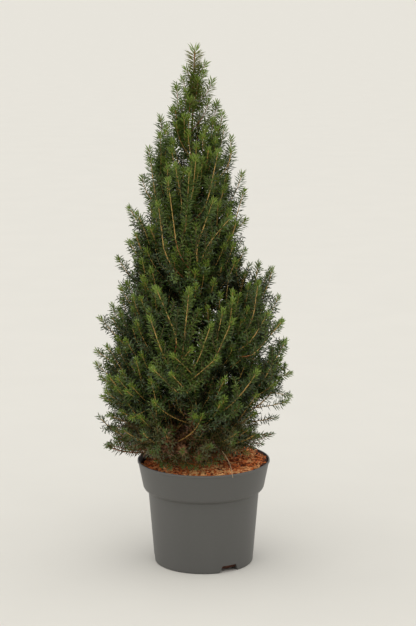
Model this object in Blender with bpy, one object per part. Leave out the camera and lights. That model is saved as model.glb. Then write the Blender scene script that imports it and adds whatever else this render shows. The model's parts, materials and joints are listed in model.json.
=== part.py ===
"""A potted dwarf spruce (Alberta spruce) in its nursery container, at real size.

Metres, +Z up. The origin is the centre of the pot's underside, the front of the plant faces -Y,
and the fuller shoulder of its crown is on the +X side.

Every bough grows along a limb line: a curve from the trunk to a tip on the crown's surface. The
tips are spread evenly over that surface in a spiral. The inner part of a limb line is a bare
bough, and the outer part is the stem of one mass of foliage, which fills its own share of the crown.
"""

import math
import random

import bmesh
import bpy
import numpy as np
from mathutils import Matrix, Vector
from mathutils.bvhtree import BVHTree

SEED = 41
GAP = 0.0003
CLEARANCE = 4 * GAP

# Nursery pot
POT_HEIGHT = 0.180
POT_RIM_RADIUS = 0.1136
POT_FOOT_RADIUS = 0.0850
POT_WALL = 0.0016
COLLAR_BOTTOM = 0.1340
COLLAR_BOTTOM_RADIUS = 0.1040
COLLAR_CHAMFER = 0.0030
BODY_TOP_RADIUS = 0.0952
BODY_TOP = COLLAR_BOTTOM - 0.0080
INNER_STEP_BOTTOM = COLLAR_BOTTOM - 0.0070
INNER_STEP_TOP = COLLAR_BOTTOM + 0.0008
RIM_WIDTH = 0.0026
RIM_BEAD_BOTTOM = POT_HEIGHT - 0.0042
RIM_BEAD_TOP = POT_HEIGHT - 0.0030
RIM_BEAD_DEPTH = 0.0012
RIM_CHAMFER = 0.0004
POT_SIDES = 36
PAD_RADIUS = 0.044
PAD_SLOPE = 0.002
FOOT_HEIGHT = 0.0045
FLOOR_TOP = 0.0065
FLOOR_CORNER = 0.0010
FOOT_RING_INSIDE = POT_FOOT_RADIUS - 0.006
FOOT_RING_SLOPE = 0.002
FOOT_CHAMFER = 0.0015
FOOT_CHAMFER_HEIGHT = 0.0020
DRAIN_DEPTH = 0.030
DRAIN_WIDTH = 0.036
DRAIN_HEIGHT = 0.011
DRAIN_COUNT = 3
DRAIN_AZIMUTH = math.radians(-59)

# Bark mulch that fills the pot
SOIL_LEVEL = 0.1720
MULCH_EDGE_LEVEL = 0.1690
MULCH_EDGE = (0.060, 0.105)
MULCH_MOUND = 0.0085
MOUND_SLOPE = (-0.03, 0.09)
MOUND_WAY = (0.8, 0.5)
MULCH_ROUGHNESS = 0.0022
LUMP_WAVES = (190, 170, 60)
LUMP_SHIFT = 1.3
MULCH_SIDES = 18
MULCH_RINGS = 4
MULCH_CORNER = 0.0012
MULCH_TOP_GAP = 0.0030
TRUNK_CLEARING = 0.017

# Trunk
TRUNK_FOOT = SOIL_LEVEL + GAP
TRUNK_TOP = 0.756
TRUNK_FOOT_X = -0.030
TRUNK_LEAN = 0.016
TRUNK_BOW = 0.004
TRUNK_BOW_SKEW = 0.6
TRUNK_DEPTH_BOW = 0.005
TRUNK_RADIUS = 0.0066
TRUNK_TIP_RADIUS = 0.0018
TRUNK_TAPER = 0.9
ROOT_FLARE = 0.0046
FLARE_HEIGHT = 0.011
ROOT_LOBES = 5
LOBE_DEPTH = 0.10
TRUNK_SIDES = 9
TRUNK_RINGS = 14
RING_CROWDING = 1.9

# Crown
TREE_TOP = 0.889
WIDEST_LEVEL = 0.340
CROWN_RADIUS = 0.158
CROWN_TAPER = 0.74
SKIRT_LEVEL = 0.200
SKIRT_INSET = 0.016
SKIRT_LIFT = 0.024
SHOULDER = 0.024
SHOULDER_LEVEL = 0.505
SHOULDER_FADE = 0.030
LOWEST_LEAF = 0.1868
LEAF_FLOOR_SLOPE = 0.30
NEEDLE_REACH = 0.0120
REACH_ALLOWANCE = 1.03

# Limbs, one for each mass of foliage
LOWEST_TIP = 0.205
HIGHEST_TIP = 0.812
CROWN_PER_TIP = 0.0166
TOP_TIP_SHARE = 0.55
FIRST_AZIMUTH = math.radians(-172)
GOLDEN_ANGLE = math.radians(137.508)
LOWEST_RISE = math.radians(5)
HIGHEST_RISE = math.radians(71)
RISE_POWER = 0.60
LIMB_SAG = math.radians(16)
LIMB_UPTURN = math.radians(24)
FLATTEST_START = math.radians(4)
STEEPEST_END = math.radians(84)
LOWEST_ROOT = SOIL_LEVEL + 0.014
ROOT_STEP = 0.003
BOUGH_SHARE = 0.27
BARE_BOUGHS_BELOW = 0.605
BOUGH_RADIUS = 0.0034
BOUGH_THINNING = 0.38
BOUGH_TAPER = 0.8
STEM_RADIUS = 0.0015
STEM_TIP_RADIUS = 0.0009
STEM_END = 0.92
LEADER_END = TREE_TOP - NEEDLE_REACH * 0.8

# Foliage
NEEDLE_OUT = NEEDLE_REACH * 0.85
NEEDLE_FORWARD = NEEDLE_REACH * 0.75
SPRAYS_PER_MASS = 7
SPRAY_LONGEST = 0.090
SPRAY_LENGTHS = (0.85, 1.0)
SPRAY_SHORTEST = 0.013
SPRAY_ANGLE = math.radians(47)
SPRAY_ANGLES = (0.80, 1.15)
SPRAY_LIFT = 0.25
FIRST_SPRAY = 0.12
LAST_SPRAY = 0.95
SPRAY_CROWDING = 0.8
SPRAY_RADIUS = 0.0027
SPRAY_TAPER = 0.62
SPRAY_NEEDLED = 0.93
SPRAY_SEGMENT = 0.0165
SPRAY_TWIST = 0.65
TIP_SPRAY = 0.028
PROUD = 0.001
GROWTH_STEP = 0.003
CORE_SHARE = 0.52
CORE_WIDEST = 0.036
CORE_LEAST = 0.0021
CORE_START = 0.05
CORE_END = 0.95
CORE_SIDES = 5
CORE_RINGS = 4


# Materials

def material(name, colour, roughness):
    """A Principled material with one colour, given in linear light."""
    made = bpy.data.materials.new(name)
    made.use_nodes = True
    shader = made.node_tree.nodes["Principled BSDF"]
    shader.inputs["Base Color"].default_value = (*colour, 1.0)
    shader.inputs["Roughness"].default_value = roughness
    shader.inputs["Metallic"].default_value = 0.0
    made.diffuse_color = (*colour, 1.0)
    return made


def add_object(name, mesh, finish):
    """Links the mesh as a named object, with its faces pointing out."""
    work = bmesh.new()
    work.from_mesh(mesh)
    bmesh.ops.recalc_face_normals(work, faces=work.faces)
    work.to_mesh(mesh)
    work.free()
    made = bpy.data.objects.new(name, mesh)
    made.data.materials.append(finish)
    bpy.context.scene.collection.objects.link(made)
    return made


def mesh_of(name, points, faces):
    mesh = bpy.data.meshes.new(name)
    mesh.from_pydata([tuple(p) for p in points], [], faces)
    return mesh


# Small mathematics

def smooth_step(low, high, value):
    share = min(1.0, max(0.0, (value - low) / (high - low)))
    return share * share * (3 - 2 * share)


def bezier(corners, t):
    """A point on the cubic curve with these four control points."""
    a, b, c, d = corners
    u = 1 - t
    return a * u ** 3 + b * 3 * u * u * t + c * 3 * u * t * t + d * t ** 3


def outward(azimuth, elevation):
    """The unit direction with this compass angle from +X and this rise above level."""
    level = math.cos(elevation)
    return Vector((math.cos(azimuth) * level, math.sin(azimuth) * level, math.sin(elevation)))


def ring_axes(direction, up=Vector((0, 0, 1))):
    """Two unit vectors across a direction, the first of them level."""
    across = direction.cross(up)
    if across.length < 1e-3:
        across = Vector((1, 0, 0))
    across.normalize()
    return across, across.cross(direction).normalized()


# Pot

def turned(name, profile, sides, finish):
    """A closed body turned about Z from a profile of (radius, height) that starts and ends on the axis."""
    work = bmesh.new()
    corners = [work.verts.new((radius, 0, height)) for radius, height in profile]
    edges = [work.edges.new(pair) for pair in zip(corners, corners[1:])]
    bmesh.ops.spin(work, geom=corners + edges, cent=(0, 0, 0), axis=(0, 0, 1),
                   angle=math.tau, steps=sides, use_merge=True, use_duplicate=False)
    bmesh.ops.remove_doubles(work, verts=work.verts, dist=1e-6)
    mesh = bpy.data.meshes.new(name)
    work.to_mesh(mesh)
    work.free()
    return add_object(name, mesh, finish)


def drain_cutter(index):
    """A block that cuts one drain notch through the foot of the pot's wall."""
    azimuth = DRAIN_AZIMUTH + index * math.tau / DRAIN_COUNT
    work = bmesh.new()
    bmesh.ops.create_cube(work, size=1.0)
    size = Matrix.Diagonal((DRAIN_DEPTH, DRAIN_WIDTH, 2 * DRAIN_HEIGHT, 1))
    place = Matrix.Rotation(azimuth, 4, "Z") @ Matrix.Translation((POT_FOOT_RADIUS, 0, 0))
    bmesh.ops.transform(work, matrix=place @ size, verts=work.verts)
    mesh = bpy.data.meshes.new("drain_cutter")
    work.to_mesh(mesh)
    work.free()
    cutter = bpy.data.objects.new(f"drain_cutter_{index}", mesh)
    bpy.context.scene.collection.objects.link(cutter)
    cutter.hide_render = True
    cutter.display_type = "WIRE"
    return cutter


def make_pot(finish):
    """An injection-moulded pot: tapered body, wider collar, beaded rim, raised floor with drains."""
    profile = [
        (0, 0),
        (PAD_RADIUS, 0),
        (PAD_RADIUS + PAD_SLOPE, FOOT_HEIGHT),
        (FOOT_RING_INSIDE - FOOT_RING_SLOPE, FOOT_HEIGHT),
        (FOOT_RING_INSIDE, 0),
        (POT_FOOT_RADIUS - FOOT_CHAMFER, 0),
        (POT_FOOT_RADIUS, FOOT_CHAMFER_HEIGHT),
        (BODY_TOP_RADIUS, BODY_TOP),
        (COLLAR_BOTTOM_RADIUS - COLLAR_CHAMFER, COLLAR_BOTTOM - COLLAR_CHAMFER),
        (COLLAR_BOTTOM_RADIUS, COLLAR_BOTTOM),
        (POT_RIM_RADIUS - RIM_BEAD_DEPTH, RIM_BEAD_BOTTOM),
        (POT_RIM_RADIUS, RIM_BEAD_TOP),
        (POT_RIM_RADIUS - RIM_CHAMFER, POT_HEIGHT),
        (POT_RIM_RADIUS - RIM_WIDTH, POT_HEIGHT),
        (COLLAR_BOTTOM_RADIUS - POT_WALL, INNER_STEP_TOP),
        (BODY_TOP_RADIUS - POT_WALL, INNER_STEP_BOTTOM),
        (POT_FOOT_RADIUS - POT_WALL - FLOOR_CORNER, FLOOR_TOP),
        (0, FLOOR_TOP),
    ]
    pot = turned("pot", profile, POT_SIDES, finish)
    for index in range(DRAIN_COUNT):
        cut = pot.modifiers.new(f"drain_{index}", "BOOLEAN")
        cut.object = drain_cutter(index)
        cut.operation = "DIFFERENCE"
        cut.solver = "EXACT"
    pot.data.shade_smooth()
    pot.data.set_sharp_from_angle(angle=math.radians(35))
    return pot


# Bark mulch

def mulch_level(x, y):
    """Height of the mulch at a place in the pot: mounded to the back right, level at the trunk."""
    foot = trunk_axis(TRUNK_FOOT)
    away = math.hypot(x - foot.x, y - foot.y)
    radius = math.hypot(x, y)
    edge = smooth_step(*MULCH_EDGE, radius)
    level = SOIL_LEVEL + (MULCH_EDGE_LEVEL - SOIL_LEVEL) * edge
    mound = MULCH_MOUND * smooth_step(*MOUND_SLOPE, x * MOUND_WAY[0] + y * MOUND_WAY[1])
    wave_x, wave_y, skew = LUMP_WAVES
    lumps = MULCH_ROUGHNESS * math.sin(x * wave_x + LUMP_SHIFT) * math.cos(y * wave_y + x * skew)
    return level + (mound + lumps) * smooth_step(TRUNK_CLEARING, TRUNK_CLEARING * 2, away)


def make_mulch(finish):
    """One body that fills the pot, with rings on top that open out from the trunk to the wall."""
    foot = trunk_axis(TRUNK_FOOT)
    gap = POT_WALL + GAP * 2
    top_radius = POT_RIM_RADIUS - RIM_WIDTH - MULCH_TOP_GAP
    sides = [
        (POT_FOOT_RADIUS - gap - MULCH_CORNER, FLOOR_TOP + GAP),
        (BODY_TOP_RADIUS - gap, INNER_STEP_BOTTOM - GAP * 2),
        (COLLAR_BOTTOM_RADIUS - gap - MULCH_CORNER, INNER_STEP_TOP),
        (top_radius, 0.0),
    ]
    points = [Vector((0, 0, sides[0][1]))]
    around = [index * math.tau / MULCH_SIDES for index in range(MULCH_SIDES)]
    for radius, height in sides:
        for angle in around:
            x, y = radius * math.cos(angle), radius * math.sin(angle)
            points.append(Vector((x, y, height or mulch_level(x, y))))
    for ring in range(1, MULCH_RINGS):
        share = 1 - ring / MULCH_RINGS
        radius = TRUNK_CLEARING + (top_radius - TRUNK_CLEARING) * share
        centre = foot * (1 - share)
        for angle in around:
            x, y = centre.x + radius * math.cos(angle), centre.y + radius * math.sin(angle)
            points.append(Vector((x, y, mulch_level(x, y))))
    for angle in around:
        points.append(Vector((foot.x + TRUNK_CLEARING * math.cos(angle),
                              foot.y + TRUNK_CLEARING * math.sin(angle), SOIL_LEVEL)))
    points.append(Vector((foot.x, foot.y, SOIL_LEVEL)))
    ring_count = len(sides) + MULCH_RINGS
    faces = closed_tube_faces(ring_count, MULCH_SIDES)
    return add_object("bark_mulch", mesh_of("bark_mulch", points, faces), finish)


def closed_tube_faces(ring_count, sides):
    """Faces over one end point, rings of points in order, and the other end point."""
    faces = []
    last = 1 + ring_count * sides
    for side in range(sides):
        after = (side + 1) % sides
        faces.append((0, 1 + after, 1 + side))
        for ring in range(ring_count - 1):
            a, b = 1 + ring * sides, 1 + (ring + 1) * sides
            faces.append((a + side, a + after, b + after, b + side))
        end = 1 + (ring_count - 1) * sides
        faces.append((end + side, end + after, last))
    return faces


# Trunk

def trunk_axis(z):
    """The trunk's centre line at this height: it leans to the right, with a slight bow to the left."""
    share = (z - SOIL_LEVEL) / (TREE_TOP - SOIL_LEVEL)
    share = min(1.0, max(0.0, share))
    bow = TRUNK_BOW * math.sin(math.pi * share ** TRUNK_BOW_SKEW)
    x = TRUNK_FOOT_X + TRUNK_LEAN * share - bow
    return Vector((x, TRUNK_DEPTH_BOW * math.sin(math.pi * share), z))


def trunk_radius(z):
    share = min(1.0, (z - SOIL_LEVEL) / (TRUNK_TOP - SOIL_LEVEL))
    taper = TRUNK_TIP_RADIUS + (TRUNK_RADIUS - TRUNK_TIP_RADIUS) * (1 - share) ** TRUNK_TAPER
    return taper + ROOT_FLARE * math.exp(-(z - TRUNK_FOOT) / FLARE_HEIGHT)


def make_trunk(finish):
    """One tapering stem, flared and lobed at the foot, from its flat cut to the leader."""
    tall = TRUNK_TOP - TRUNK_FOOT
    shares = [(k / TRUNK_RINGS) ** RING_CROWDING for k in range(TRUNK_RINGS + 1)]
    heights = [TRUNK_FOOT + tall * share for share in shares]
    points = [trunk_axis(TRUNK_FOOT)]
    for z in heights:
        centre, radius = trunk_axis(z), trunk_radius(z)
        lobes = LOBE_DEPTH * math.exp(-(z - TRUNK_FOOT) / FLARE_HEIGHT)
        for side in range(TRUNK_SIDES):
            angle = side * math.tau / TRUNK_SIDES
            reach = radius * (1 - lobes + lobes * math.cos(ROOT_LOBES * angle))
            points.append(centre + reach * outward(angle, 0))
    points.append(trunk_axis(TRUNK_TOP))
    faces = closed_tube_faces(len(heights), TRUNK_SIDES)
    return add_object("trunk", mesh_of("trunk", points, faces), finish)


# The crown's outline and its limb lines

def crown_reach(z, azimuth):
    """How far the foliage reaches from the trunk at this height, on this side."""
    up = (z - WIDEST_LEVEL) / (TREE_TOP - WIDEST_LEVEL)
    if up > 0:
        reach = CROWN_RADIUS * max(0.0, 1 - up) ** CROWN_TAPER
    else:
        down = (WIDEST_LEVEL - z) / (WIDEST_LEVEL - SKIRT_LEVEL)
        reach = CROWN_RADIUS - SKIRT_INSET * down ** 2
    side = max(0.0, math.cos(azimuth)) ** 2
    swell = smooth_step(SKIRT_LEVEL, WIDEST_LEVEL, z)
    fade = smooth_step(SHOULDER_LEVEL, SHOULDER_LEVEL + SHOULDER_FADE, z)
    return reach + SHOULDER * side * swell * (1 - fade)


def leaf_floor(x):
    """The lowest that foliage hangs at this distance to the right of the pot's centre."""
    return LOWEST_LEAF + LEAF_FLOOR_SLOPE * max(0.0, x)


def skirt_lift(z, azimuth):
    """How far a tip is lifted at this height and side: the skirt hangs less low on the right."""
    low = 1 - smooth_step(LOWEST_TIP, WIDEST_LEVEL, z)
    return SKIRT_LIFT * max(0.0, math.cos(azimuth)) * low


def rise_of(tip_z):
    """How steeply the limb to a tip at this height climbs, from trunk to tip."""
    share = max(0.0, (tip_z - LOWEST_TIP) / (HIGHEST_TIP - LOWEST_TIP))
    return LOWEST_RISE + (HIGHEST_RISE - LOWEST_RISE) * share ** RISE_POWER


class Limb:
    """One limb line: a curve from the trunk to a tip, and where its foliage starts."""

    def __init__(self, index, level, azimuth):
        self.index = index
        rise = rise_of(level)
        tip_z = level + skirt_lift(level, azimuth)
        reach = crown_reach(tip_z, azimuth) - NEEDLE_REACH
        root_z = max(LOWEST_ROOT + ROOT_STEP * index, tip_z - reach * math.tan(rise))
        axis, top = trunk_axis(root_z), trunk_axis(tip_z)
        tip = Vector((top.x, top.y, tip_z)) + outward(azimuth, 0) * reach
        leaves = outward(azimuth, max(FLATTEST_START, rise - LIMB_SAG))
        arrives = outward(azimuth, min(STEEPEST_END, rise + LIMB_UPTURN))
        handle = (tip - axis).length / 3
        root = axis + leaves * (trunk_radius(root_z) / math.cos(rise))
        self.corners = (root, axis + leaves * handle, tip - arrives * handle, tip)
        self.has_bough = tip_z < BARE_BOUGHS_BELOW
        self.foliage_start = BOUGH_SHARE if self.has_bough else 0.0

    def at(self, t):
        return bezier(self.corners, t)

    def direction(self, t):
        return (self.at(min(1.0, t + 0.01)) - self.at(max(0.0, t - 0.01))).normalized()

    def length(self, start=0.0, end=1.0, steps=16):
        spots = [self.at(start + (end - start) * k / steps) for k in range(steps + 1)]
        return sum((b - a).length for a, b in zip(spots, spots[1:]))


class Leader(Limb):
    """The top shoot, which carries straight on from the trunk's tip."""

    def __init__(self, index):
        self.index = index
        foot, tip = trunk_axis(TRUNK_TOP), trunk_axis(LEADER_END)
        self.corners = (foot, foot.lerp(tip, 1 / 3), foot.lerp(tip, 2 / 3), tip)
        self.has_bough = False
        self.foliage_start = 0.0


def limb_lines():
    """Limbs whose tips wind up the crown's surface, each with an equal share of it."""
    limbs = []
    z, azimuth = LOWEST_TIP, FIRST_AZIMUTH
    while z < HIGHEST_TIP:
        limbs.append(Limb(len(limbs), z, azimuth))
        reach = crown_reach(z, azimuth)
        share = TOP_TIP_SHARE + (1 - TOP_TIP_SHARE) * reach / CROWN_RADIUS
        z += CROWN_PER_TIP * share / (math.tau * reach)
        azimuth += GOLDEN_ANGLE
    limbs.append(Leader(len(limbs)))
    return limbs


# Space: each mass keeps to the part of the crown that is nearest its own limb

class Space:
    """Says which points belong to a limb: nearer to it than to any other, and inside the crown."""

    SPACING = 0.0025

    def __init__(self, limbs):
        spots, owners, radii = [], [], []
        for limb in limbs:
            steps = math.ceil(limb.length() / self.SPACING)
            for k in range(steps + 1):
                t = k / steps
                spots.append(limb.at(t))
                owners.append(limb.index)
                radii.append(bough_radius(limb, t) if t < limb.foliage_start else STEM_RADIUS)
        self.spots, self.owners = np.array(spots), np.array(owners)
        self.radii = np.array(radii)
        steps = math.ceil((TRUNK_TOP - TRUNK_FOOT) / self.SPACING)
        heights = np.linspace(TRUNK_FOOT, TRUNK_TOP, steps)
        self.trunk = np.array([trunk_axis(z) for z in heights])
        self.trunk_radii = np.array([trunk_radius(z) for z in heights])

    def inside_crown(self, point):
        axis = trunk_axis(point.z)
        azimuth = math.atan2(point.y - axis.y, point.x - axis.x)
        away = math.hypot(point.y - axis.y, point.x - axis.x)
        limit = max(crown_reach(point.z, azimuth), NEEDLE_REACH) * REACH_ALLOWANCE
        return leaf_floor(point.x) < point.z < TREE_TOP and away < limit

    def holds(self, owner, point):
        """Whether a point of this limb's foliage stays in its space and off every limb."""
        if not self.inside_crown(point):
            return False
        place = np.array(point)
        if (np.linalg.norm(self.trunk - place, axis=1) - self.trunk_radii).min() < CLEARANCE:
            return False
        away = np.linalg.norm(self.spots - place, axis=1)
        own = self.owners == owner
        others = ~own
        if (away[others] - self.radii[others]).min() < CLEARANCE:
            return False
        return away[others].min() - away[own].min() > CLEARANCE


# Boughs

def bough_radius(limb, t):
    """A bough's radius: thickest on the longest limbs, and it thins to its stem of foliage."""
    share = t / BOUGH_SHARE
    full = BOUGH_RADIUS * (1 - BOUGH_THINNING * limb.corners[0].z / BARE_BOUGHS_BELOW)
    return full + (STEM_RADIUS - full) * min(1.0, share) ** BOUGH_TAPER


def on_trunk(point, direction):
    """The point slid along a limb's direction until it lies just off the trunk's surface."""
    for _ in range(6):
        axis = trunk_axis(point.z)
        away = (point - axis) * Vector((1, 1, 0))
        short = trunk_radius(point.z) + GAP - away.length
        level = max(0.15, direction.dot(away.normalized()))
        point = point + direction * (short / level)
    return point


def tube(limb, start, end, rings, sides, radius_at, lift=0.0):
    """Points and faces of a closed tube along a limb. One that starts at 0 is seated on the trunk."""
    points = []
    for k in range(rings):
        t = start + (end - start) * k / (rings - 1)
        centre, direction = limb.at(t), limb.direction(t)
        if k == 0:
            centre = centre + direction * lift
        across, over = ring_axes(direction)
        ring = [centre + radius_at(t) * (across * math.cos(s) + over * math.sin(s))
                for s in (side * math.tau / sides for side in range(sides))]
        seated = k == 0 and start == 0 and not isinstance(limb, Leader)
        if seated:
            ring = [on_trunk(p, direction) for p in ring]
            centre = on_trunk(centre, direction)
        if k == 0:
            points.append(centre)
        points += ring
    points.append(centre)
    return points, closed_tube_faces(rings, sides)


def make_bough(limb, finish):
    """One tapering limb, from its seat on the trunk to where it enters its mass of foliage."""
    points, faces = tube(limb, 0.0, limb.foliage_start, 4, 5, lambda t: bough_radius(limb, t))
    name = f"bough_{limb.index + 1:02d}"
    return add_object(name, mesh_of(name, points, faces), finish)


# Foliage

def stem_mesh(limb):
    """The stem that every twig of a mass grows from."""
    start = limb.foliage_start

    def radius_at(t):
        share = (t - start) / (1 - start)
        return STEM_RADIUS + (STEM_TIP_RADIUS - STEM_RADIUS) * share

    return tube(limb, start, STEM_END, 4, 4, radius_at, GAP)


def free_reach(space, limb, start, direction, longest):
    """How far a straight twig can grow from a point before it leaves its space."""
    reach = 0.0
    while reach + GROWTH_STEP <= longest:
        if not space.holds(limb.index, start + direction * (reach + GROWTH_STEP)):
            break
        reach += GROWTH_STEP
    return reach


def core_mesh(space, limb):
    """The dark heart of a mass: a lump along the stem, smaller than the space that the mass has."""
    start = limb.foliage_start + CORE_START * (1 - limb.foliage_start)
    points = [limb.at(start)]
    for ring in range(CORE_RINGS):
        t = start + (CORE_END - start) * (ring + 0.7) / (CORE_RINGS + 0.4)
        centre, direction = limb.at(t), limb.direction(t)
        across, over = ring_axes(direction)
        for side in range(CORE_SIDES):
            angle = (side + 0.5 * (ring % 2)) * math.tau / CORE_SIDES
            way = across * math.cos(angle) + over * math.sin(angle)
            reach = free_reach(space, limb, centre, way, CORE_WIDEST / CORE_SHARE)
            points.append(centre + way * max(CORE_LEAST, reach * CORE_SHARE))
    points.append(limb.at(CORE_END))
    return points, closed_tube_faces(CORE_RINGS, CORE_SIDES)


def spray_mesh(space, limb, root, direction, bare, length, turn):
    """A slim three-sided twig that needles stand out of, three to each segment past its bare part.

    Each needle is a four-sided spike on one face of the twig, which leans forward. The rings of
    the twig turn a little from one to the next, so that the needles wind round it. A needle that
    would leave the mass's space is left out.
    """
    across, over = ring_axes(direction)
    segments = max(1, round((length - bare) / SPRAY_SEGMENT))
    needled = (length - bare) * SPRAY_NEEDLED
    along = [bare + needled * k / segments for k in range(segments + 1)]

    def corner(ring, side):
        angle = turn + side * math.tau / 3 + ring * SPRAY_TWIST
        radius = SPRAY_RADIUS * (1 - SPRAY_TAPER * ring / segments)
        way = across * math.cos(angle) + over * math.sin(angle)
        return root + direction * along[ring] + way * radius

    points = [root]
    points += [corner(ring, side) for ring in range(segments + 1) for side in range(3)]
    points.append(root + direction * length)
    faces = []
    for side in range(3):
        after = (side + 1) % 3
        faces.append((0, 1 + after, 1 + side))
        end = 1 + segments * 3
        faces.append((end + side, end + after, end + 3))
        for ring in range(segments):
            a, b = 1 + ring * 3, 4 + ring * 3
            base = (a + side, a + after, b + after, b + side)
            middle = sum((points[k] for k in base), Vector()) / 4
            out = middle - (root + direction * (middle - root).dot(direction))
            apex = middle + out.normalized() * NEEDLE_OUT + direction * NEEDLE_FORWARD
            if not space.holds(limb.index, apex):
                faces.append(base)
                continue
            points.append(apex)
            spike = len(points) - 1
            faces += [(base[k], base[(k + 1) % 4], spike) for k in range(4)]
    return points, faces


def sprays(space, limb, core):
    """The sprays of one mass: they wind round its stem and each reaches as far as it is free to."""
    chance = random.Random(SEED + limb.index)
    start = limb.foliage_start + FIRST_SPRAY * (1 - limb.foliage_start)
    found = []
    spin = chance.uniform(0, math.tau)
    for k in range(SPRAYS_PER_MASS):
        t = start + (LAST_SPRAY - start) * ((k + 0.5) / SPRAYS_PER_MASS) ** SPRAY_CROWDING
        forward = limb.direction(t)
        across, over = ring_axes(forward)
        spin += GOLDEN_ANGLE
        way = across * math.cos(spin) + over * math.sin(spin)
        angle = SPRAY_ANGLE * chance.uniform(*SPRAY_ANGLES)
        direction = forward * math.cos(angle) + way * math.sin(angle)
        direction = (direction + Vector((0, 0, SPRAY_LIFT))).normalized()
        longest = SPRAY_LONGEST * chance.uniform(*SPRAY_LENGTHS)
        root = limb.at(t)
        length = free_reach(space, limb, root, direction, longest)
        bare = leaves_core(core, root, direction) + PROUD
        if length - bare < SPRAY_SHORTEST:
            continue
        found.append(spray_mesh(space, limb, root, direction, bare, length, spin))
    end = limb.direction(1.0)
    root = limb.at(1.0) - end * TIP_SPRAY
    found.append(spray_mesh(space, limb, root, end, PROUD, TIP_SPRAY, spin))
    return found


def leaves_core(core, root, direction):
    """How far along its line a twig comes out of its mass's core."""
    shell = BVHTree.FromPolygons(*core)
    place, _, _, away = shell.ray_cast(root, direction)
    return away if place else 0.0


def shells_of(work):
    """The separate closed shells of a bmesh, each as a list of its faces."""
    waiting, shells = set(work.faces), []
    while waiting:
        shell, edge = [], [waiting.pop()]
        while edge:
            face = edge.pop()
            shell.append(face)
            near = {other for side in face.edges for other in side.link_faces} & waiting
            waiting -= near
            edge += near
        shells.append(shell)
    return shells


def span(shell):
    """The diagonal of a shell's bounding box."""
    spots = np.array([corner.co for face in shell for corner in face.verts])
    return np.linalg.norm(spots.max(axis=0) - spots.min(axis=0))


def keep_outer_shell(mesh):
    """Drops loose scraps and fills sealed hollows: only the widest shell stays."""
    work = bmesh.new()
    work.from_mesh(mesh)
    shells = sorted(shells_of(work), key=span)
    spare = [face for shell in shells[:-1] for face in shell]
    bmesh.ops.delete(work, geom=spare, context="FACES")
    work.to_mesh(mesh)
    work.free()


def make_mass(space, limb, finish):
    """One mass of foliage: its stem, core and sprays joined into one body."""
    name = "leader_foliage" if isinstance(limb, Leader) else f"foliage_{limb.index + 1:02d}"
    mass = add_object(name, mesh_of(name, *stem_mesh(limb)), finish)
    core = core_mesh(space, limb)
    grown = sprays(space, limb, core) + [core]
    pieces = bpy.data.collections.new(name + "_pieces")
    bpy.context.scene.collection.children.link(pieces)
    for points, faces in grown:
        piece = add_object(name + "_piece", mesh_of(name, points, faces), finish)
        bpy.context.scene.collection.objects.unlink(piece)
        pieces.objects.link(piece)
    join = mass.modifiers.new("join", "BOOLEAN")
    join.operation = "UNION"
    join.operand_type = "COLLECTION"
    join.collection = pieces
    join.solver = "MANIFOLD"
    graph = bpy.context.evaluated_depsgraph_get()
    joined = bpy.data.meshes.new_from_object(mass.evaluated_get(graph))
    mass.modifiers.clear()
    keep_outer_shell(joined)
    mass.data = joined
    for piece in list(pieces.objects):
        bpy.data.objects.remove(piece)
    bpy.data.collections.remove(pieces)
    return mass


def main():
    for old in list(bpy.data.objects):
        bpy.data.objects.remove(old)
    plastic = material("pot_plastic", (0.090, 0.088, 0.084), 0.55)
    mulch = material("bark_mulch", (0.170, 0.050, 0.020), 0.90)
    bark = material("spruce_bark", (0.110, 0.055, 0.028), 0.85)
    needles = material("spruce_needles", (0.040, 0.070, 0.018), 0.60)
    make_pot(plastic)
    make_mulch(mulch)
    make_trunk(bark)
    limbs = limb_lines()
    space = Space(limbs)
    for limb in limbs:
        if limb.has_bough:
            make_bough(limb, bark)
        make_mass(space, limb, needles)
    print("limbs", len(limbs), "boughs", sum(limb.has_bough for limb in limbs))


main()
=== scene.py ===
import json
import math
import random

import bmesh
import bpy
import numpy as np
from mathutils import Matrix, Vector, noise

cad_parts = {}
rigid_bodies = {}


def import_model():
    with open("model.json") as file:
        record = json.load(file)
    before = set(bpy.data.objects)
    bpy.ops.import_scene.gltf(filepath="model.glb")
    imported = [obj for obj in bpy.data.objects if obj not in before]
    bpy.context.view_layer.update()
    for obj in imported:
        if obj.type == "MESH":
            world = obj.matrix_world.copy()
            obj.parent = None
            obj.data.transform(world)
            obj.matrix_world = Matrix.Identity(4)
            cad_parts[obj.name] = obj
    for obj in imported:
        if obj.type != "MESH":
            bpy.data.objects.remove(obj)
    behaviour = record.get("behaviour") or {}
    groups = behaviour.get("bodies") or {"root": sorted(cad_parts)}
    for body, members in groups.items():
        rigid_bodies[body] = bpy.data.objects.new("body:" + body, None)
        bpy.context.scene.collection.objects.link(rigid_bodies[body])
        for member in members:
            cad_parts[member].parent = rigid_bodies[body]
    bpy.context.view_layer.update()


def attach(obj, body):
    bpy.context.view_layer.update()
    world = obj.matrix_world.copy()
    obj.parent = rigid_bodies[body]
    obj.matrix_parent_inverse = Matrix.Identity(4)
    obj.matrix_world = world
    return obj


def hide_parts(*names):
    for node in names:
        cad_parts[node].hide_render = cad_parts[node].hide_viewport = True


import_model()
scene = bpy.context.scene


# Camera
#
# A 105 mm lens on a full-frame body, upright, 3 m in front of the pot and 1 m above the floor. It
# looks a little down, so the mulch shows inside the rim.

CAMERA_PLACE = (0.0075, -3.037, 1.009)
CAMERA_PITCH = math.radians(10.72)
LENS_MM = 105
SENSOR_HEIGHT_MM = 36

camera_data = bpy.data.cameras.new("camera")
camera_data.lens = LENS_MM
camera_data.sensor_fit = "VERTICAL"
camera_data.sensor_height = SENSOR_HEIGHT_MM
camera = bpy.data.objects.new("camera", camera_data)
camera.location = CAMERA_PLACE
camera.rotation_euler = (math.pi / 2 - CAMERA_PITCH, 0, 0)
scene.collection.objects.link(camera)
scene.camera = camera


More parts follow.
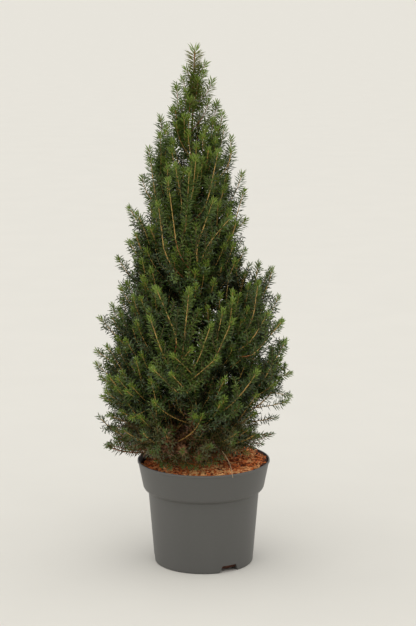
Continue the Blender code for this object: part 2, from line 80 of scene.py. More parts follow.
# Floor and light
#
# A plain pale studio floor without an edge in view. The light is soft: a wide lamp high on the left,
# a weaker one high on the right, and an even glow from the walls of the room.

FLOOR_RADIUS = 90.0
FLOOR_SIDES = 96
FLOOR_COLOUR = "#d5d1c8"
ROOM_COLOUR = "#dadbdb"
ROOM_GLOW = 0.78
LAMP_SPREAD = math.radians(110)
# For each lamp: its strength, and the side that it shines from.
LAMPS = {"key_lamp": (1.65, (-1.0, -0.35, 1.15)), "fill_lamp": (1.2, (1.0, -0.35, 1.15))}
MOTTLE_RANGE = (0.3, 0.7)


def linear(hex_colour):
    """An sRGB colour such as #d2cec6 as linear light, with alpha 1."""
    parts = [int(hex_colour[k:k + 2], 16) / 255 for k in (1, 3, 5)]
    return (*(c / 12.92 if c <= 0.04045 else ((c + 0.055) / 1.055) ** 2.4 for c in parts), 1.0)


def add_node(tree, kind, inputs, **settings):
    """Adds a node with its settings, and each input set to a value or linked to a socket or a node."""
    made = tree.nodes.new(kind)
    for name, value in settings.items():
        setattr(made, name, value)
    for key, value in inputs.items():
        if isinstance(value, bpy.types.Node):
            value = value.outputs[0]
        if isinstance(value, bpy.types.NodeSocket):
            tree.links.new(value, made.inputs[key])
        else:
            made.inputs[key].default_value = value
    return made


def vary_colour(made, tone):
    """Scales a material's colour from place to place by the value that this node gives."""
    base = made.node_tree.nodes["Principled BSDF"].inputs["Base Color"]
    varied = add_node(made.node_tree, "ShaderNodeVectorMath", {0: base.default_value[:3], "Scale": tone},
                      operation="SCALE")
    made.node_tree.links.new(varied.outputs["Vector"], base)


def new_material(name, colour, roughness, ior, mottle=None):
    """A Principled material. A mottle is the size of its patches in metres, and the two shares of the
    colour that they vary between."""
    made = bpy.data.materials.new(name)
    made.use_nodes = True
    made.diffuse_color = linear(colour)
    tree = made.node_tree
    shader = tree.nodes["Principled BSDF"]
    for socket, value in (("Base Color", linear(colour)), ("Roughness", roughness), ("IOR", ior)):
        shader.inputs[socket].default_value = value
    if mottle:
        place = add_node(tree, "ShaderNodeTexCoord", {})
        patches = add_node(tree, "ShaderNodeTexNoise",
                           {"Vector": place.outputs["Object"], "Scale": 1 / mottle[0], "Detail": 4.0})
        tone = add_node(tree, "ShaderNodeMapRange",
                        {"Value": patches, "From Min": MOTTLE_RANGE[0], "From Max": MOTTLE_RANGE[1],
                         "To Min": mottle[1], "To Max": mottle[2]})
        vary_colour(made, tone)
    return made


def add_piece(name, mesh, material):
    """Links a mesh as a finished piece at the origin, with one material."""
    made = bpy.data.objects.new(name, mesh)
    mesh.materials.clear()
    mesh.materials.append(material)
    scene.collection.objects.link(made)
    return made


def finished_mesh(name, work):
    """A mesh made from a worked shape, which is then let go."""
    mesh = bpy.data.meshes.new(name)
    work.to_mesh(mesh)
    work.free()
    return mesh


# Painted screed: matt, with a faint unevenness of tone a hand's breadth across.
floor_paint = new_material("painted_screed", FLOOR_COLOUR, roughness=0.75, ior=1.45,
                           mottle=(0.17, 0.99, 1.01))
work = bmesh.new()
bmesh.ops.create_circle(work, cap_ends=True, radius=FLOOR_RADIUS, segments=FLOOR_SIDES)
floor = add_piece("floor", finished_mesh("floor", work), floor_paint)

room = bpy.data.worlds.new("room")
scene.world = room
room.use_nodes = True
room.node_tree.nodes["Background"].inputs["Color"].default_value = linear(ROOM_COLOUR)
room.node_tree.nodes["Background"].inputs["Strength"].default_value = ROOM_GLOW
for name, (strength, comes_from) in LAMPS.items():
    lamp_data = bpy.data.lights.new(name, "SUN")
    lamp_data.energy = strength
    lamp_data.angle = LAMP_SPREAD
    lamp = bpy.data.objects.new(name, lamp_data)
    lamp.rotation_euler = Vector(comes_from).to_track_quat("Z", "Y").to_euler()
    scene.collection.objects.link(lamp)
scene.view_settings.view_transform = "Standard"


# Pot
#
# A 5 litre nursery container of grey recycled polypropylene, injection moulded: a tapered body, a
# wider collar with a rounded shoulder, a thin rolled rim, and three drain notches in its foot.

POT_HEIGHT = 0.180
RIM_RADIUS = 0.1136
FOOT_RADIUS = 0.0850
BODY_TOP_RADIUS = 0.0952
COLLAR_BOTTOM = 0.1340
COLLAR_BOTTOM_RADIUS = 0.1040
POT_WALL = 0.0016
POT_SIDES = 160
PAD_RADIUS = 0.044
FOOT_HEIGHT = 0.0045
ARC_POINTS = 5
LONGEST_ROUNDING = 0.45
CREASE = math.radians(40)
DRAIN_DEPTH = 0.030
DRAIN_WIDTH = 0.036
DRAIN_HEIGHT = 0.0125
DRAIN_SLANT = 0.0045
DRAIN_CORNER = 0.0016
DRAIN_COUNT = 3
DRAIN_AZIMUTH = math.radians(-59)
POT_GREY = "#52514e"
FLOW_MARK = 1 / 22
DUST_SPECK = 1 / 260
SPARK_GRAIN = 1 / 1400

# The pot's section, out along its underside, up its outside and down its inside: the radius, the
# height and the rounding of each corner.
POT_SECTION = (
    (0, 0, 0),
    (PAD_RADIUS, 0, 0.0006),
    (PAD_RADIUS + 0.002, FOOT_HEIGHT, 0.0010),
    (FOOT_RADIUS - 0.008, FOOT_HEIGHT, 0.0010),
    (FOOT_RADIUS - 0.006, 0, 0.0004),
    (FOOT_RADIUS - 0.0015, 0, 0.0006),
    (FOOT_RADIUS, 0.0020, 0.0016),
    (BODY_TOP_RADIUS, COLLAR_BOTTOM - 0.0080, 0.0030),
    (COLLAR_BOTTOM_RADIUS - 0.0020, COLLAR_BOTTOM - 0.0038, 0.0030),
    (COLLAR_BOTTOM_RADIUS, COLLAR_BOTTOM, 0.0030),
    (RIM_RADIUS - 0.0013, POT_HEIGHT - 0.0044, 0.0005),
    (RIM_RADIUS, POT_HEIGHT - 0.0034, 0.0009),
    (RIM_RADIUS - 0.0002, POT_HEIGHT, 0.0013),
    (RIM_RADIUS - 0.0026, POT_HEIGHT, 0.0008),
    (COLLAR_BOTTOM_RADIUS - POT_WALL, COLLAR_BOTTOM + 0.0008, 0.0030),
    (BODY_TOP_RADIUS - POT_WALL, COLLAR_BOTTOM - 0.0070, 0.0030),
    (FOOT_RADIUS - POT_WALL - 0.0010, FOOT_HEIGHT + 0.0020, 0.0015),
    (0, FOOT_HEIGHT + 0.0020, 0),
)


def rounded_path(corners):
    """A path through (radius, height, rounding) corners, with each corner rounded by an arc."""
    path = []
    for k, (r, z, rounding) in enumerate(corners):
        here = Vector((r, z))
        if rounding == 0 or k in (0, len(corners) - 1):
            path.append(here)
            continue
        back = Vector(corners[k - 1][:2]) - here
        ahead = Vector(corners[k + 1][:2]) - here
        cut = min(rounding / math.tan(back.angle(ahead) / 2), back.length * LONGEST_ROUNDING,
                  ahead.length * LONGEST_ROUNDING)
        start, end = here + back.normalized() * cut, here + ahead.normalized() * cut
        for step in range(ARC_POINTS):
            t = step / (ARC_POINTS - 1)
            path.append(start * (1 - t) ** 2 + here * 2 * t * (1 - t) + end * t ** 2)
    return path


def turned_mesh(name, path, sides):
    """A body turned about the pot's axis from a path of (radius, height)."""
    work = bmesh.new()
    points = [work.verts.new((p.x, 0, p.y)) for p in path]
    edges = [work.edges.new(pair) for pair in zip(points, points[1:])]
    bmesh.ops.spin(work, geom=points + edges, cent=(0, 0, 0), axis=(0, 0, 1),
                   angle=math.tau, steps=sides, use_merge=True, use_duplicate=False)
    bmesh.ops.remove_doubles(work, verts=work.verts, dist=1e-6)
    bmesh.ops.recalc_face_normals(work, faces=work.faces)
    return finished_mesh(name, work)


def drain_cutter(azimuth):
    """A block with slanted sides and rounded corners that cuts one notch through the foot of the wall."""
    work = bmesh.new()
    bmesh.ops.create_cube(work, size=1.0)
    size = Matrix.Diagonal((DRAIN_DEPTH, DRAIN_WIDTH, 2 * DRAIN_HEIGHT, 1))
    bmesh.ops.transform(work, matrix=size, verts=work.verts)
    for vert in work.verts:
        vert.co.y -= math.copysign(DRAIN_SLANT, vert.co.y) * vert.co.z / DRAIN_HEIGHT
    along = [e for e in work.edges if abs(e.verts[0].co.x - e.verts[1].co.x) > DRAIN_DEPTH / 2]
    bmesh.ops.bevel(work, geom=along, offset=DRAIN_CORNER, segments=4, profile=0.5, affect="EDGES")
    out = Matrix.Rotation(azimuth, 4, "Z") @ Matrix.Translation((FOOT_RADIUS, 0, 0))
    bmesh.ops.transform(work, matrix=out, verts=work.verts)
    made = bpy.data.objects.new("drain_cutter", finished_mesh("drain_cutter", work))
    scene.collection.objects.link(made)
    return made


def settled(source, name, material):
    """The evaluated object as a plain mesh in a new piece. The source is removed."""
    graph = bpy.context.evaluated_depsgraph_get()
    mesh = bpy.data.meshes.new_from_object(source.evaluated_get(graph))
    bpy.data.objects.remove(source)
    mesh.name = name
    return add_piece(name, mesh, material)


# Recycled polypropylene off a spark-eroded mould: a fine grain that spreads the gloss into a satin
# sheen, a little dust, and slow tone changes where the melt flowed down the wall.
polypropylene = new_material("moulded_polypropylene", POT_GREY, roughness=0.46, ior=1.49)
tree = polypropylene.node_tree
shader = tree.nodes["Principled BSDF"]
place = add_node(tree, "ShaderNodeTexCoord", {}).outputs["Object"]
drawn_out = add_node(tree, "ShaderNodeMapping", {"Vector": place, "Scale": (1.0, 1.0, 0.25)})
flow = add_node(tree, "ShaderNodeTexNoise", {"Vector": drawn_out, "Scale": 1 / FLOW_MARK, "Detail": 4.0})
dust = add_node(tree, "ShaderNodeTexNoise", {"Vector": place, "Scale": 1 / DUST_SPECK, "Detail": 6.0})
flow_tone = add_node(tree, "ShaderNodeMapRange", {"Value": flow, "To Min": 0.94, "To Max": 1.06})
dust_tone = add_node(tree, "ShaderNodeMapRange",
                     {"Value": dust, "From Min": 0.55, "From Max": 0.8, "To Min": 1.0, "To Max": 1.09})
both_tones = add_node(tree, "ShaderNodeMath", {0: flow_tone, 1: dust_tone}, operation="MULTIPLY")
vary_colour(polypropylene, both_tones)
sheen = add_node(tree, "ShaderNodeMapRange", {"Value": flow, "To Min": 0.40, "To Max": 0.52})
tree.links.new(sheen.outputs["Result"], shader.inputs["Roughness"])
grain = add_node(tree, "ShaderNodeTexNoise", {"Vector": place, "Scale": 1 / SPARK_GRAIN, "Detail": 2.0})
bump = add_node(tree, "ShaderNodeBump", {"Height": grain, "Strength": 0.12, "Distance": 0.0003})
tree.links.new(bump.outputs["Normal"], shader.inputs["Normal"])

pot_body = bpy.data.objects.new("pot_body", turned_mesh("pot_body", rounded_path(POT_SECTION), POT_SIDES))
scene.collection.objects.link(pot_body)
cutters = [drain_cutter(DRAIN_AZIMUTH + k * math.tau / DRAIN_COUNT) for k in range(DRAIN_COUNT)]
for cutter in cutters:
    cut = pot_body.modifiers.new("drain", "BOOLEAN")
    cut.object = cutter
    cut.operation = "DIFFERENCE"
    cut.solver = "EXACT"
pot = settled(pot_body, "nursery_pot", polypropylene)
for cutter in cutters:
    bpy.data.objects.remove(cutter)
pot.data.shade_smooth()
pot.data.set_sharp_from_angle(angle=CREASE)
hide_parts("pot")
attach(pot, "root")


# Bark mulch
#
# Compost to just under the rim, with a layer of shredded pine bark on it: chips a few millimetres to
# two centimetres long, rust red where they are freshly broken and dark brown where they are damp. It
# lies a little lower at the left, and is heaped up against the rim at the back right.

SOIL_LEVEL = 0.1720
MULCH_EDGE_LEVEL = 0.1702
MULCH_EDGE = (0.060, 0.105)
MULCH_MOUND = 0.0092
MOUND_SLOPE = (-0.03, 0.09)
MOUND_WAY = (0.8, 0.5)
MULCH_ROUGHNESS = 0.0022
LUMPS_ACROSS = 190
LUMPS_BACK = 170
LUMPS_SKEW = 60
LUMPS_SHIFT = 1.3
MULCH_GRAIN = 0.0016
CRUMBS_PER_METRE = 260
CRUMB_FRACTAL = (0.9, 2.1, 4)
CRUMB_SINK = 0.0012
TRUNK_CLEARING = 0.017
MULCH_RINGS = 44
MULCH_SIDES = 168
MULCH_TOP_RADIUS = RIM_RADIUS - 0.0050
DAMP_BARK = "#42210f"
# The fill's side under its top, clear of the wall: radius and height.
MULCH_WALLS = (
    (FOOT_RADIUS - POT_WALL - 0.0020, FOOT_HEIGHT + 0.0024),
    (BODY_TOP_RADIUS - POT_WALL - 0.0010, COLLAR_BOTTOM - 0.0076),
    (COLLAR_BOTTOM_RADIUS - POT_WALL - 0.0020, COLLAR_BOTTOM + 0.0006),
)

# A chip's outline, for a chip one unit long, and how far chips lean, turn and differ in length.
CHIP_OUTLINE = ((-0.5, -0.04), (-0.28, -0.13), (0.22, -0.11), (0.5, 0.02), (0.2, 0.12), (-0.3, 0.10))
CHIP_TEAR = 0.06
CHIP_WIDTHS = (0.6, 1.5)
CHIP_UNDERSIDE = -0.04
CHIP_TOP_SHARE = 0.86
CHIP_THICKNESS = (0.10, 0.05)
CHIP_BEND = 0.25
CHIP_SHAPES = 7
CHIP_SHAPE_SEED = 70
CHIP_LEANS = ((-0.5, -0.45, 0.0), (0.5, 0.45, math.tau))
CHIP_SIZES = (0.35, 1.25)
CHIP_FIBRE = 0.0015
STREWN_SIDES = 72
STREWN_RINGS = 17
STREWN_FROM = 0.014
STREWN_TO = MULCH_TOP_RADIUS - 0.0052
# For each tint: its colour, how many chips, their length, a seed, and the part of a turn they lie in.
CHIPS = {
    "rust": ("#ca6e34", 1600, 0.0140, 11, (0.0, 1.0)),
    "tan": ("#dc9a60", 600, 0.0165, 12, (0.0, 1.0)),
    "brown": ("#8a4420", 1300, 0.0115, 13, (0.0, 1.0)),
    "dark": ("#432414", 420, 0.0110, 14, (0.0, 1.0)),
    "straw": ("#e4ae70", 220, 0.0165, 15, (0.70, 0.86)),
}

# Trunk line, which the mulch is level around and every limb grows from.
TREE_TOP = 0.889
TRUNK_FOOT_X = -0.030
TRUNK_LEAN = 0.016
TRUNK_BOW = 0.004
TRUNK_BOW_SKEW = 0.6
TRUNK_DEPTH_BOW = 0.005


def trunk_axis(z):
    """The trunk's centre line at this height: it leans to the right, with a slight bow to the left."""
    share = min(1.0, max(0.0, (z - SOIL_LEVEL) / (TREE_TOP - SOIL_LEVEL)))
    bow = TRUNK_BOW * math.sin(math.pi * share ** TRUNK_BOW_SKEW)
    x = TRUNK_FOOT_X + TRUNK_LEAN * share - bow
    return Vector((x, TRUNK_DEPTH_BOW * math.sin(math.pi * share), z))


def smooth_step(low, high, value):
    """0 below the low value, 1 above the high one, and a smooth rise between them."""
    share = min(1.0, max(0.0, (value - low) / (high - low)))
    return share * share * (3 - 2 * share)


def mulch_level(x, y):
    """Height of the mulch: level at the trunk, mounded to the back right, and lumpy."""
    foot = trunk_axis(SOIL_LEVEL)
    away = math.hypot(x - foot.x, y - foot.y)
    level = SOIL_LEVEL + (MULCH_EDGE_LEVEL - SOIL_LEVEL) * smooth_step(*MULCH_EDGE, math.hypot(x, y))
    mound = MULCH_MOUND * smooth_step(*MOUND_SLOPE, x * MOUND_WAY[0] + y * MOUND_WAY[1])
    lumps = math.sin(x * LUMPS_ACROSS + LUMPS_SHIFT) * math.cos(y * LUMPS_BACK + x * LUMPS_SKEW)
    return level + (mound + MULCH_ROUGHNESS * lumps) * smooth_step(TRUNK_CLEARING, TRUNK_CLEARING * 2, away)


def plain_mesh(name, points, faces, edges=()):
    """A mesh from points and the faces or edges between them."""
    mesh = bpy.data.meshes.new(name)
    mesh.from_pydata(points, edges, faces)
    return mesh


def closed_tube(rings, first, last):
    """Points and faces over one end point, rings of points, and the other end point."""
    sides = len(rings[0])
    points = [first] + [p for ring in rings for p in ring] + [last]
    faces = []
    end = 1 + (len(rings) - 1) * sides
    for side in range(sides):
        after = (side + 1) % sides
        faces.append((0, 1 + after, 1 + side))
        faces.append((end + side, end + after, len(points) - 1))
        for ring in range(len(rings) - 1):
            a, b = 1 + ring * sides, 1 + (ring + 1) * sides
            faces.append((a + side, a + after, b + after, b + side))
    return points, faces


# The fill of the pot, with a fine crumb on its top.
around = [k * math.tau / MULCH_SIDES for k in range(MULCH_SIDES)]
rings = [[Vector((r * math.cos(a), r * math.sin(a), z)) for a in around] for r, z in MULCH_WALLS]
foot = trunk_axis(SOIL_LEVEL)
for k in range(MULCH_RINGS):
    share = k / MULCH_RINGS
    radius = MULCH_TOP_RADIUS * (1 - share)
    ring = []
    for a in around:
        x, y = foot.x * share + radius * math.cos(a), foot.y * share + radius * math.sin(a)
        crumb = noise.fractal(Vector((x, y, 0)) * CRUMBS_PER_METRE, *CRUMB_FRACTAL)
        ring.append(Vector((x, y, mulch_level(x, y) - CRUMB_SINK + MULCH_GRAIN * crumb)))
    rings.append(ring)
bottom, top = Vector((0, 0, MULCH_WALLS[0][1])), Vector((foot.x, foot.y, SOIL_LEVEL))
bed_mesh = plain_mesh("mulch_bed", *closed_tube(rings, bottom, top))
bed_mesh.shade_smooth()

# Compost and damp bark dust: dark, matt, and mottled every few millimetres.
damp = new_material("damp_bark_compost", DAMP_BARK, roughness=0.9, ior=1.4, mottle=(0.0024, 0.45, 1.7))
bed = add_piece("mulch_bed", bed_mesh, damp)
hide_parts("bark_mulch")
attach(bed, "root")


def chip_shape(name, seed):
    """One splinter of bark, a unit long: a flat six-sided shard with torn ends, not quite straight."""
    chance = random.Random(seed)
    low = [Vector((x + chance.uniform(-CHIP_TEAR, CHIP_TEAR), y * chance.uniform(*CHIP_WIDTHS),
                   CHIP_UNDERSIDE)) for x, y in CHIP_OUTLINE]
    thin, more = CHIP_THICKNESS
    high = [p * CHIP_TOP_SHARE + Vector((0, 0, thin + more * chance.random())) for p in low]
    bend = chance.uniform(-CHIP_BEND, CHIP_BEND)
    points = [Vector((p.x, p.y, p.z + bend * p.x * p.x)) for p in low + high]
    faces = [tuple(range(5, -1, -1)), tuple(range(6, 12))]
    faces += [(k, (k + 1) % 6, 6 + (k + 1) % 6, 6 + k) for k in range(6)]
    return bpy.data.objects.new(name, plain_mesh(name, points, faces))


chip_kinds = bpy.data.collections.new("chip_kinds")
for k in range(CHIP_SHAPES):
    chip_kinds.objects.link(chip_shape(f"chip_{k}", CHIP_SHAPE_SEED + k))


def new_tree(name, inputs):
    """A tree with these inputs between a geometry and a material. Returns it with their sockets."""
    tree = bpy.data.node_groups.new(name, "GeometryNodeTree")
    for label, kind in {"Geometry": "Geometry", **inputs, "Material": "Material"}.items():
        tree.interface.new_socket(label, in_out="INPUT", socket_type=f"NodeSocket{kind}")
    tree.interface.new_socket("Geometry", in_out="OUTPUT", socket_type="NodeSocketGeometry")
    return tree, add_node(tree, "NodeGroupInput", {}).outputs


def finish_tree(tree, given, shape):
    """Ends a tree: the shape that it made becomes plain geometry in the given material."""
    whole = add_node(tree, "GeometryNodeRealizeInstances", {"Geometry": shape})
    dressed = add_node(tree, "GeometryNodeSetMaterial", {"Geometry": whole, "Material": given["Material"]})
    add_node(tree, "NodeGroupOutput", {"Geometry": dressed})
    return tree


# A tree that strews chips over a surface, each lying nearly flat and turned at random.
tree, given = new_tree("strewn_chips", {"Count per m2": "Float", "Chip length": "Float",
                                        "Seed": "Int", "Kinds": "Collection"})
strewn = add_node(tree, "GeometryNodeDistributePointsOnFaces",
                  {"Mesh": given["Geometry"], "Density": given["Count per m2"], "Seed": given["Seed"]})
kinds = add_node(tree, "GeometryNodeCollectionInfo",
                 {"Collection": given["Kinds"], "Separate Children": True, "Reset Children": True})
lean = add_node(tree, "FunctionNodeRandomValue",
                {"Min": CHIP_LEANS[0], "Max": CHIP_LEANS[1], "Seed": given["Seed"]},
                data_type="FLOAT_VECTOR")
size = add_node(tree, "FunctionNodeRandomValue",
                {2: CHIP_SIZES[0], 3: CHIP_SIZES[1], "Seed": given["Seed"]}, data_type="FLOAT")
length = add_node(tree, "ShaderNodeMath", {0: size.outputs[1], 1: given["Chip length"]},
                  operation="MULTIPLY")
laid = add_node(tree, "GeometryNodeInstanceOnPoints",
                {"Points": strewn, "Instance": kinds, "Pick Instance": True,
                 "Rotation": lean.outputs["Value"], "Scale": length})
strewn_chips = finish_tree(tree, given, laid)


def grown(name, base_mesh, tree, values, material):
    """A piece made by a tree of geometry nodes on a base mesh, settled as a plain mesh."""
    base = bpy.data.objects.new(name + "_base", base_mesh)
    scene.collection.objects.link(base)
    nodes = base.modifiers.new("nodes", "NODES")
    nodes.node_group = tree
    sockets = {item.name: item.identifier for item in tree.interface.items_tree if item.in_out == "INPUT"}
    for key, value in {**values, "Material": material}.items():
        nodes[sockets[key]] = value
    return settled(base, name, material)


def mulch_top(sector):
    """The open surface that chips lie on, just inside the rim, over a sector given in turns."""
    first, last = (round(turn * STREWN_SIDES) for turn in sector)
    around = [k * math.tau / STREWN_SIDES for k in range(first, last + 1)]
    radii = [STREWN_FROM + (STREWN_TO - STREWN_FROM) * k / STREWN_RINGS for k in range(STREWN_RINGS + 1)]
    places = [(r * math.cos(a), r * math.sin(a)) for r in radii for a in around]
    row = len(around)
    faces = [((r + 1) * row + k, (r + 1) * row + k + 1, r * row + k + 1, r * row + k)
             for r in range(STREWN_RINGS) for k in range(row - 1)]
    return plain_mesh("mulch_top", [(x, y, mulch_level(x, y)) for x, y in places], faces)


mulch_area = math.pi * MULCH_TOP_RADIUS ** 2
for tint, (colour, count, length, seed, sector) in CHIPS.items():
    # Shredded pine bark: dry, fibrous and matt.
    bark_chip = new_material(f"pine_bark_{tint}", colour, roughness=0.82, ior=1.45,
                             mottle=(CHIP_FIBRE, 0.70, 1.25))
    density = count / (mulch_area * (sector[1] - sector[0]))
    chips = grown(f"bark_chips_{tint}", mulch_top(sector), strewn_chips,
                  {"Count per m2": density, "Chip length": length, "Seed": seed, "Kinds": chip_kinds},
                  bark_chip)
    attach(chips, "root")
for shape in list(chip_kinds.objects):
    bpy.data.objects.remove(shape)
bpy.data.collections.remove(chip_kinds)


# Trunk and boughs
#
# The spruce's own frame: a stem as thick as a thumb at the mulch that runs straight up through the
# crown, and boughs that leave it in a spiral. Old bark is grey-brown and flakes in small thin scales.

TRUNK_TOP = 0.756
TRUNK_RADIUS = 0.0066
TRUNK_TIP_RADIUS = 0.0018
TRUNK_TAPER = 0.9
ROOT_FLARE = 0.0046
FLARE_HEIGHT = 0.011
TRUNK_SUNK = 0.004
TRUNK_RINGS = 240
TRUNK_SIDES = 22
RING_CROWDING = 1.3
BARK_SCALE = 0.0035
BARK_RELIEF = 0.07
BARK_FRACTAL = (0.7, 2.0, 3)
SCALE_SHAPE = Vector((1, 1, 0.6))
OFF_ALL_LIMBS = (0.31, 0.2, 0.93)
OLD_BARK = "#9c7656"

WIDEST_LEVEL = 0.340
CROWN_RADIUS = 0.158
CROWN_TAPER = 0.74
SKIRT_LEVEL = 0.200
SKIRT_INSET = 0.016
SKIRT_LIFT = 0.024
SHOULDER = 0.024
SHOULDER_LEVEL = 0.505
SHOULDER_FADE = 0.030
LOWEST_LEAF = 0.1868
LEAF_FLOOR_SLOPE = 0.30

LOWEST_TIP = 0.205
HIGHEST_TIP = 0.812
CROWN_PER_TIP = 0.0166
TOP_TIP_SHARE = 0.55
FIRST_AZIMUTH = math.radians(-172)
GOLDEN_ANGLE = math.radians(137.508)
LOWEST_RISE = math.radians(5)
HIGHEST_RISE = math.radians(71)
RISE_POWER = 0.60
LIMB_SAG = math.radians(16)
LIMB_UPTURN = math.radians(24)
FLATTEST_START = math.radians(4)
STEEPEST_END = math.radians(84)
LOWEST_ROOT = SOIL_LEVEL + 0.014
ROOT_STEP = 0.003
NEEDLE_REACH = 0.0120
LEADER_NEEDLES = 0.8
WALK_PARTS = 200
BOUGH_SHARE = 0.27
BARE_BOUGHS_BELOW = 0.605
BOUGH_RADIUS = 0.0034
BOUGH_THINNING = 0.38
BOUGH_TAPER = 0.8
BOUGH_RINGS = 20
BOUGH_SIDES = 10
STEM_RADIUS = 0.0015


def trunk_radius(z):
    share = min(1.0, (z - SOIL_LEVEL) / (TRUNK_TOP - SOIL_LEVEL))
    taper = TRUNK_TIP_RADIUS + (TRUNK_RADIUS - TRUNK_TIP_RADIUS) * (1 - share) ** TRUNK_TAPER
    return taper + ROOT_FLARE * math.exp(-(z - SOIL_LEVEL) / FLARE_HEIGHT)


def outward(azimuth, elevation):
    """The unit direction with this compass angle from +X and this rise above level."""
    level = math.cos(elevation)
    return Vector((math.cos(azimuth) * level, math.sin(azimuth) * level, math.sin(elevation)))


def crown_reach(z, azimuth):
    """How far the foliage reaches from the trunk at this height, on this side."""
    up = (z - WIDEST_LEVEL) / (TREE_TOP - WIDEST_LEVEL)
    if up > 0:
        reach = CROWN_RADIUS * max(0.0, 1 - up) ** CROWN_TAPER
    else:
        down = (WIDEST_LEVEL - z) / (WIDEST_LEVEL - SKIRT_LEVEL)
        reach = CROWN_RADIUS - SKIRT_INSET * down ** 2
    side = max(0.0, math.cos(azimuth)) ** 2
    swell = smooth_step(SKIRT_LEVEL, WIDEST_LEVEL, z)
    fade = smooth_step(SHOULDER_LEVEL, SHOULDER_LEVEL + SHOULDER_FADE, z)
    return reach + SHOULDER * side * swell * (1 - fade)


def leaf_floor(x):
    """The lowest that foliage hangs at this distance to the right of the pot's centre."""
    return LOWEST_LEAF + LEAF_FLOOR_SLOPE * max(0.0, x)


def skirt_lift(z, azimuth):
    """How far a tip is lifted at this height and side: the skirt hangs less low on the right."""
    low = 1 - smooth_step(LOWEST_TIP, WIDEST_LEVEL, z)
    return SKIRT_LIFT * max(0.0, math.cos(azimuth)) * low


def curve_point(a, b, c, d, t):
    """The point this share of the way along the curve from a to d that b and c pull on."""
    u = 1 - t
    return a * u ** 3 + b * 3 * u * u * t + c * 3 * u * t * t + d * t ** 3


class Limb:
    """One limb line: a curve that rises from the trunk to a tip on the crown's surface."""

    def __init__(self, index, level, azimuth):
        self.index = index
        share = max(0.0, (level - LOWEST_TIP) / (HIGHEST_TIP - LOWEST_TIP))
        rise = LOWEST_RISE + (HIGHEST_RISE - LOWEST_RISE) * share ** RISE_POWER
        tip_z = level + skirt_lift(level, azimuth)
        reach = crown_reach(tip_z, azimuth) - NEEDLE_REACH
        root_z = max(LOWEST_ROOT + ROOT_STEP * index, tip_z - reach * math.tan(rise))
        axis, top = trunk_axis(root_z), trunk_axis(tip_z)
        tip = Vector((top.x, top.y, tip_z)) + outward(azimuth, 0) * reach
        leaves = outward(azimuth, max(FLATTEST_START, rise - LIMB_SAG))
        arrives = outward(azimuth, min(STEEPEST_END, rise + LIMB_UPTURN))
        handle = (tip - axis).length / 3
        root = axis + leaves * (trunk_radius(root_z) / math.cos(rise))
        self.corners = (root, axis + leaves * handle, tip - arrives * handle, tip)
        self.has_bough = tip_z < BARE_BOUGHS_BELOW

    def at(self, t):
        return curve_point(*self.corners, t)

    def walk(self, step):
        """Points along the limb, this far apart."""
        fine = [self.at(k / WALK_PARTS) for k in range(WALK_PARTS + 1)]
        points, travelled = [fine[0]], 0.0
        for a, b in zip(fine, fine[1:]):
            travelled += (b - a).length
            if travelled >= step:
                points.append(b)
                travelled -= step
        return points


class Leader(Limb):
    """The top shoot, which carries straight on from the trunk's tip."""

    def __init__(self, index):
        self.index = index
        foot, tip = trunk_axis(TRUNK_TOP), trunk_axis(TREE_TOP - NEEDLE_REACH * LEADER_NEEDLES)
        self.corners = (foot, foot.lerp(tip, 1 / 3), foot.lerp(tip, 2 / 3), tip)
        self.has_bough = False


# Limbs whose tips wind up the crown's surface, each with its share of it.
limbs = []
z, azimuth = LOWEST_TIP, FIRST_AZIMUTH
while z < HIGHEST_TIP:
    limbs.append(Limb(len(limbs), z, azimuth))
    reach = crown_reach(z, azimuth)
    share = TOP_TIP_SHARE + (1 - TOP_TIP_SHARE) * reach / CROWN_RADIUS
    z += CROWN_PER_TIP * share / (math.tau * reach)
    azimuth += GOLDEN_ANGLE
limbs.append(Leader(len(limbs)))


def sideways(ahead, reference):
    """Two unit directions square to this one and to each other."""
    across = ahead.cross(Vector(reference)).normalized()
    return across, across.cross(ahead).normalized()


def bark_tube(centres, radii, sides):
    """Rings round a line of centres, roughened with the small scales of old bark."""
    rings = []
    for k, (centre, radius) in enumerate(zip(centres, radii)):
        ahead = centres[min(k + 1, len(centres) - 1)] - centres[max(k - 1, 0)]
        across, over = sideways(ahead, OFF_ALL_LIMBS)
        ring = []
        for side in range(sides):
            angle = side * math.tau / sides
            way = across * math.cos(angle) + over * math.sin(angle)
            flake = noise.fractal((centre + way * radius) * SCALE_SHAPE / BARK_SCALE, *BARK_FRACTAL)
            ring.append(centre + way * radius * (1 + BARK_RELIEF * flake))
        rings.append(ring)
    return closed_tube(rings, centres[0], centres[-1])


trunk_heights = [SOIL_LEVEL - TRUNK_SUNK
                 + (TRUNK_TOP + TRUNK_SUNK - SOIL_LEVEL) * (k / (TRUNK_RINGS - 1)) ** RING_CROWDING
                 for k in range(TRUNK_RINGS)]
bark_parts = [bark_tube([trunk_axis(z) for z in trunk_heights],
                        [trunk_radius(max(z, SOIL_LEVEL)) for z in trunk_heights], TRUNK_SIDES)]
for limb in limbs:
    if not limb.has_bough:
        continue
    full = BOUGH_RADIUS * (1 - BOUGH_THINNING * limb.corners[0].z / BARE_BOUGHS_BELOW)
    spots = [k / BOUGH_RINGS for k in range(BOUGH_RINGS + 1)]
    centres = [limb.at(t * BOUGH_SHARE) for t in spots]
    centres[0] = trunk_axis(centres[0].z)
    radii = [full + (STEM_RADIUS - full) * t ** BOUGH_TAPER for t in spots]
    bark_parts.append(bark_tube(centres, radii, BOUGH_SIDES))
points, faces = [], []
for own_points, own_faces in bark_parts:
    faces += [tuple(len(points) + k for k in face) for face in own_faces]
    points += own_points
wood_mesh = plain_mesh("trunk_and_boughs", points, faces)
work = bmesh.new()
work.from_mesh(wood_mesh)
bmesh.ops.recalc_face_normals(work, faces=work.faces)
work.to_mesh(wood_mesh)
work.free()
wood_mesh.shade_smooth()

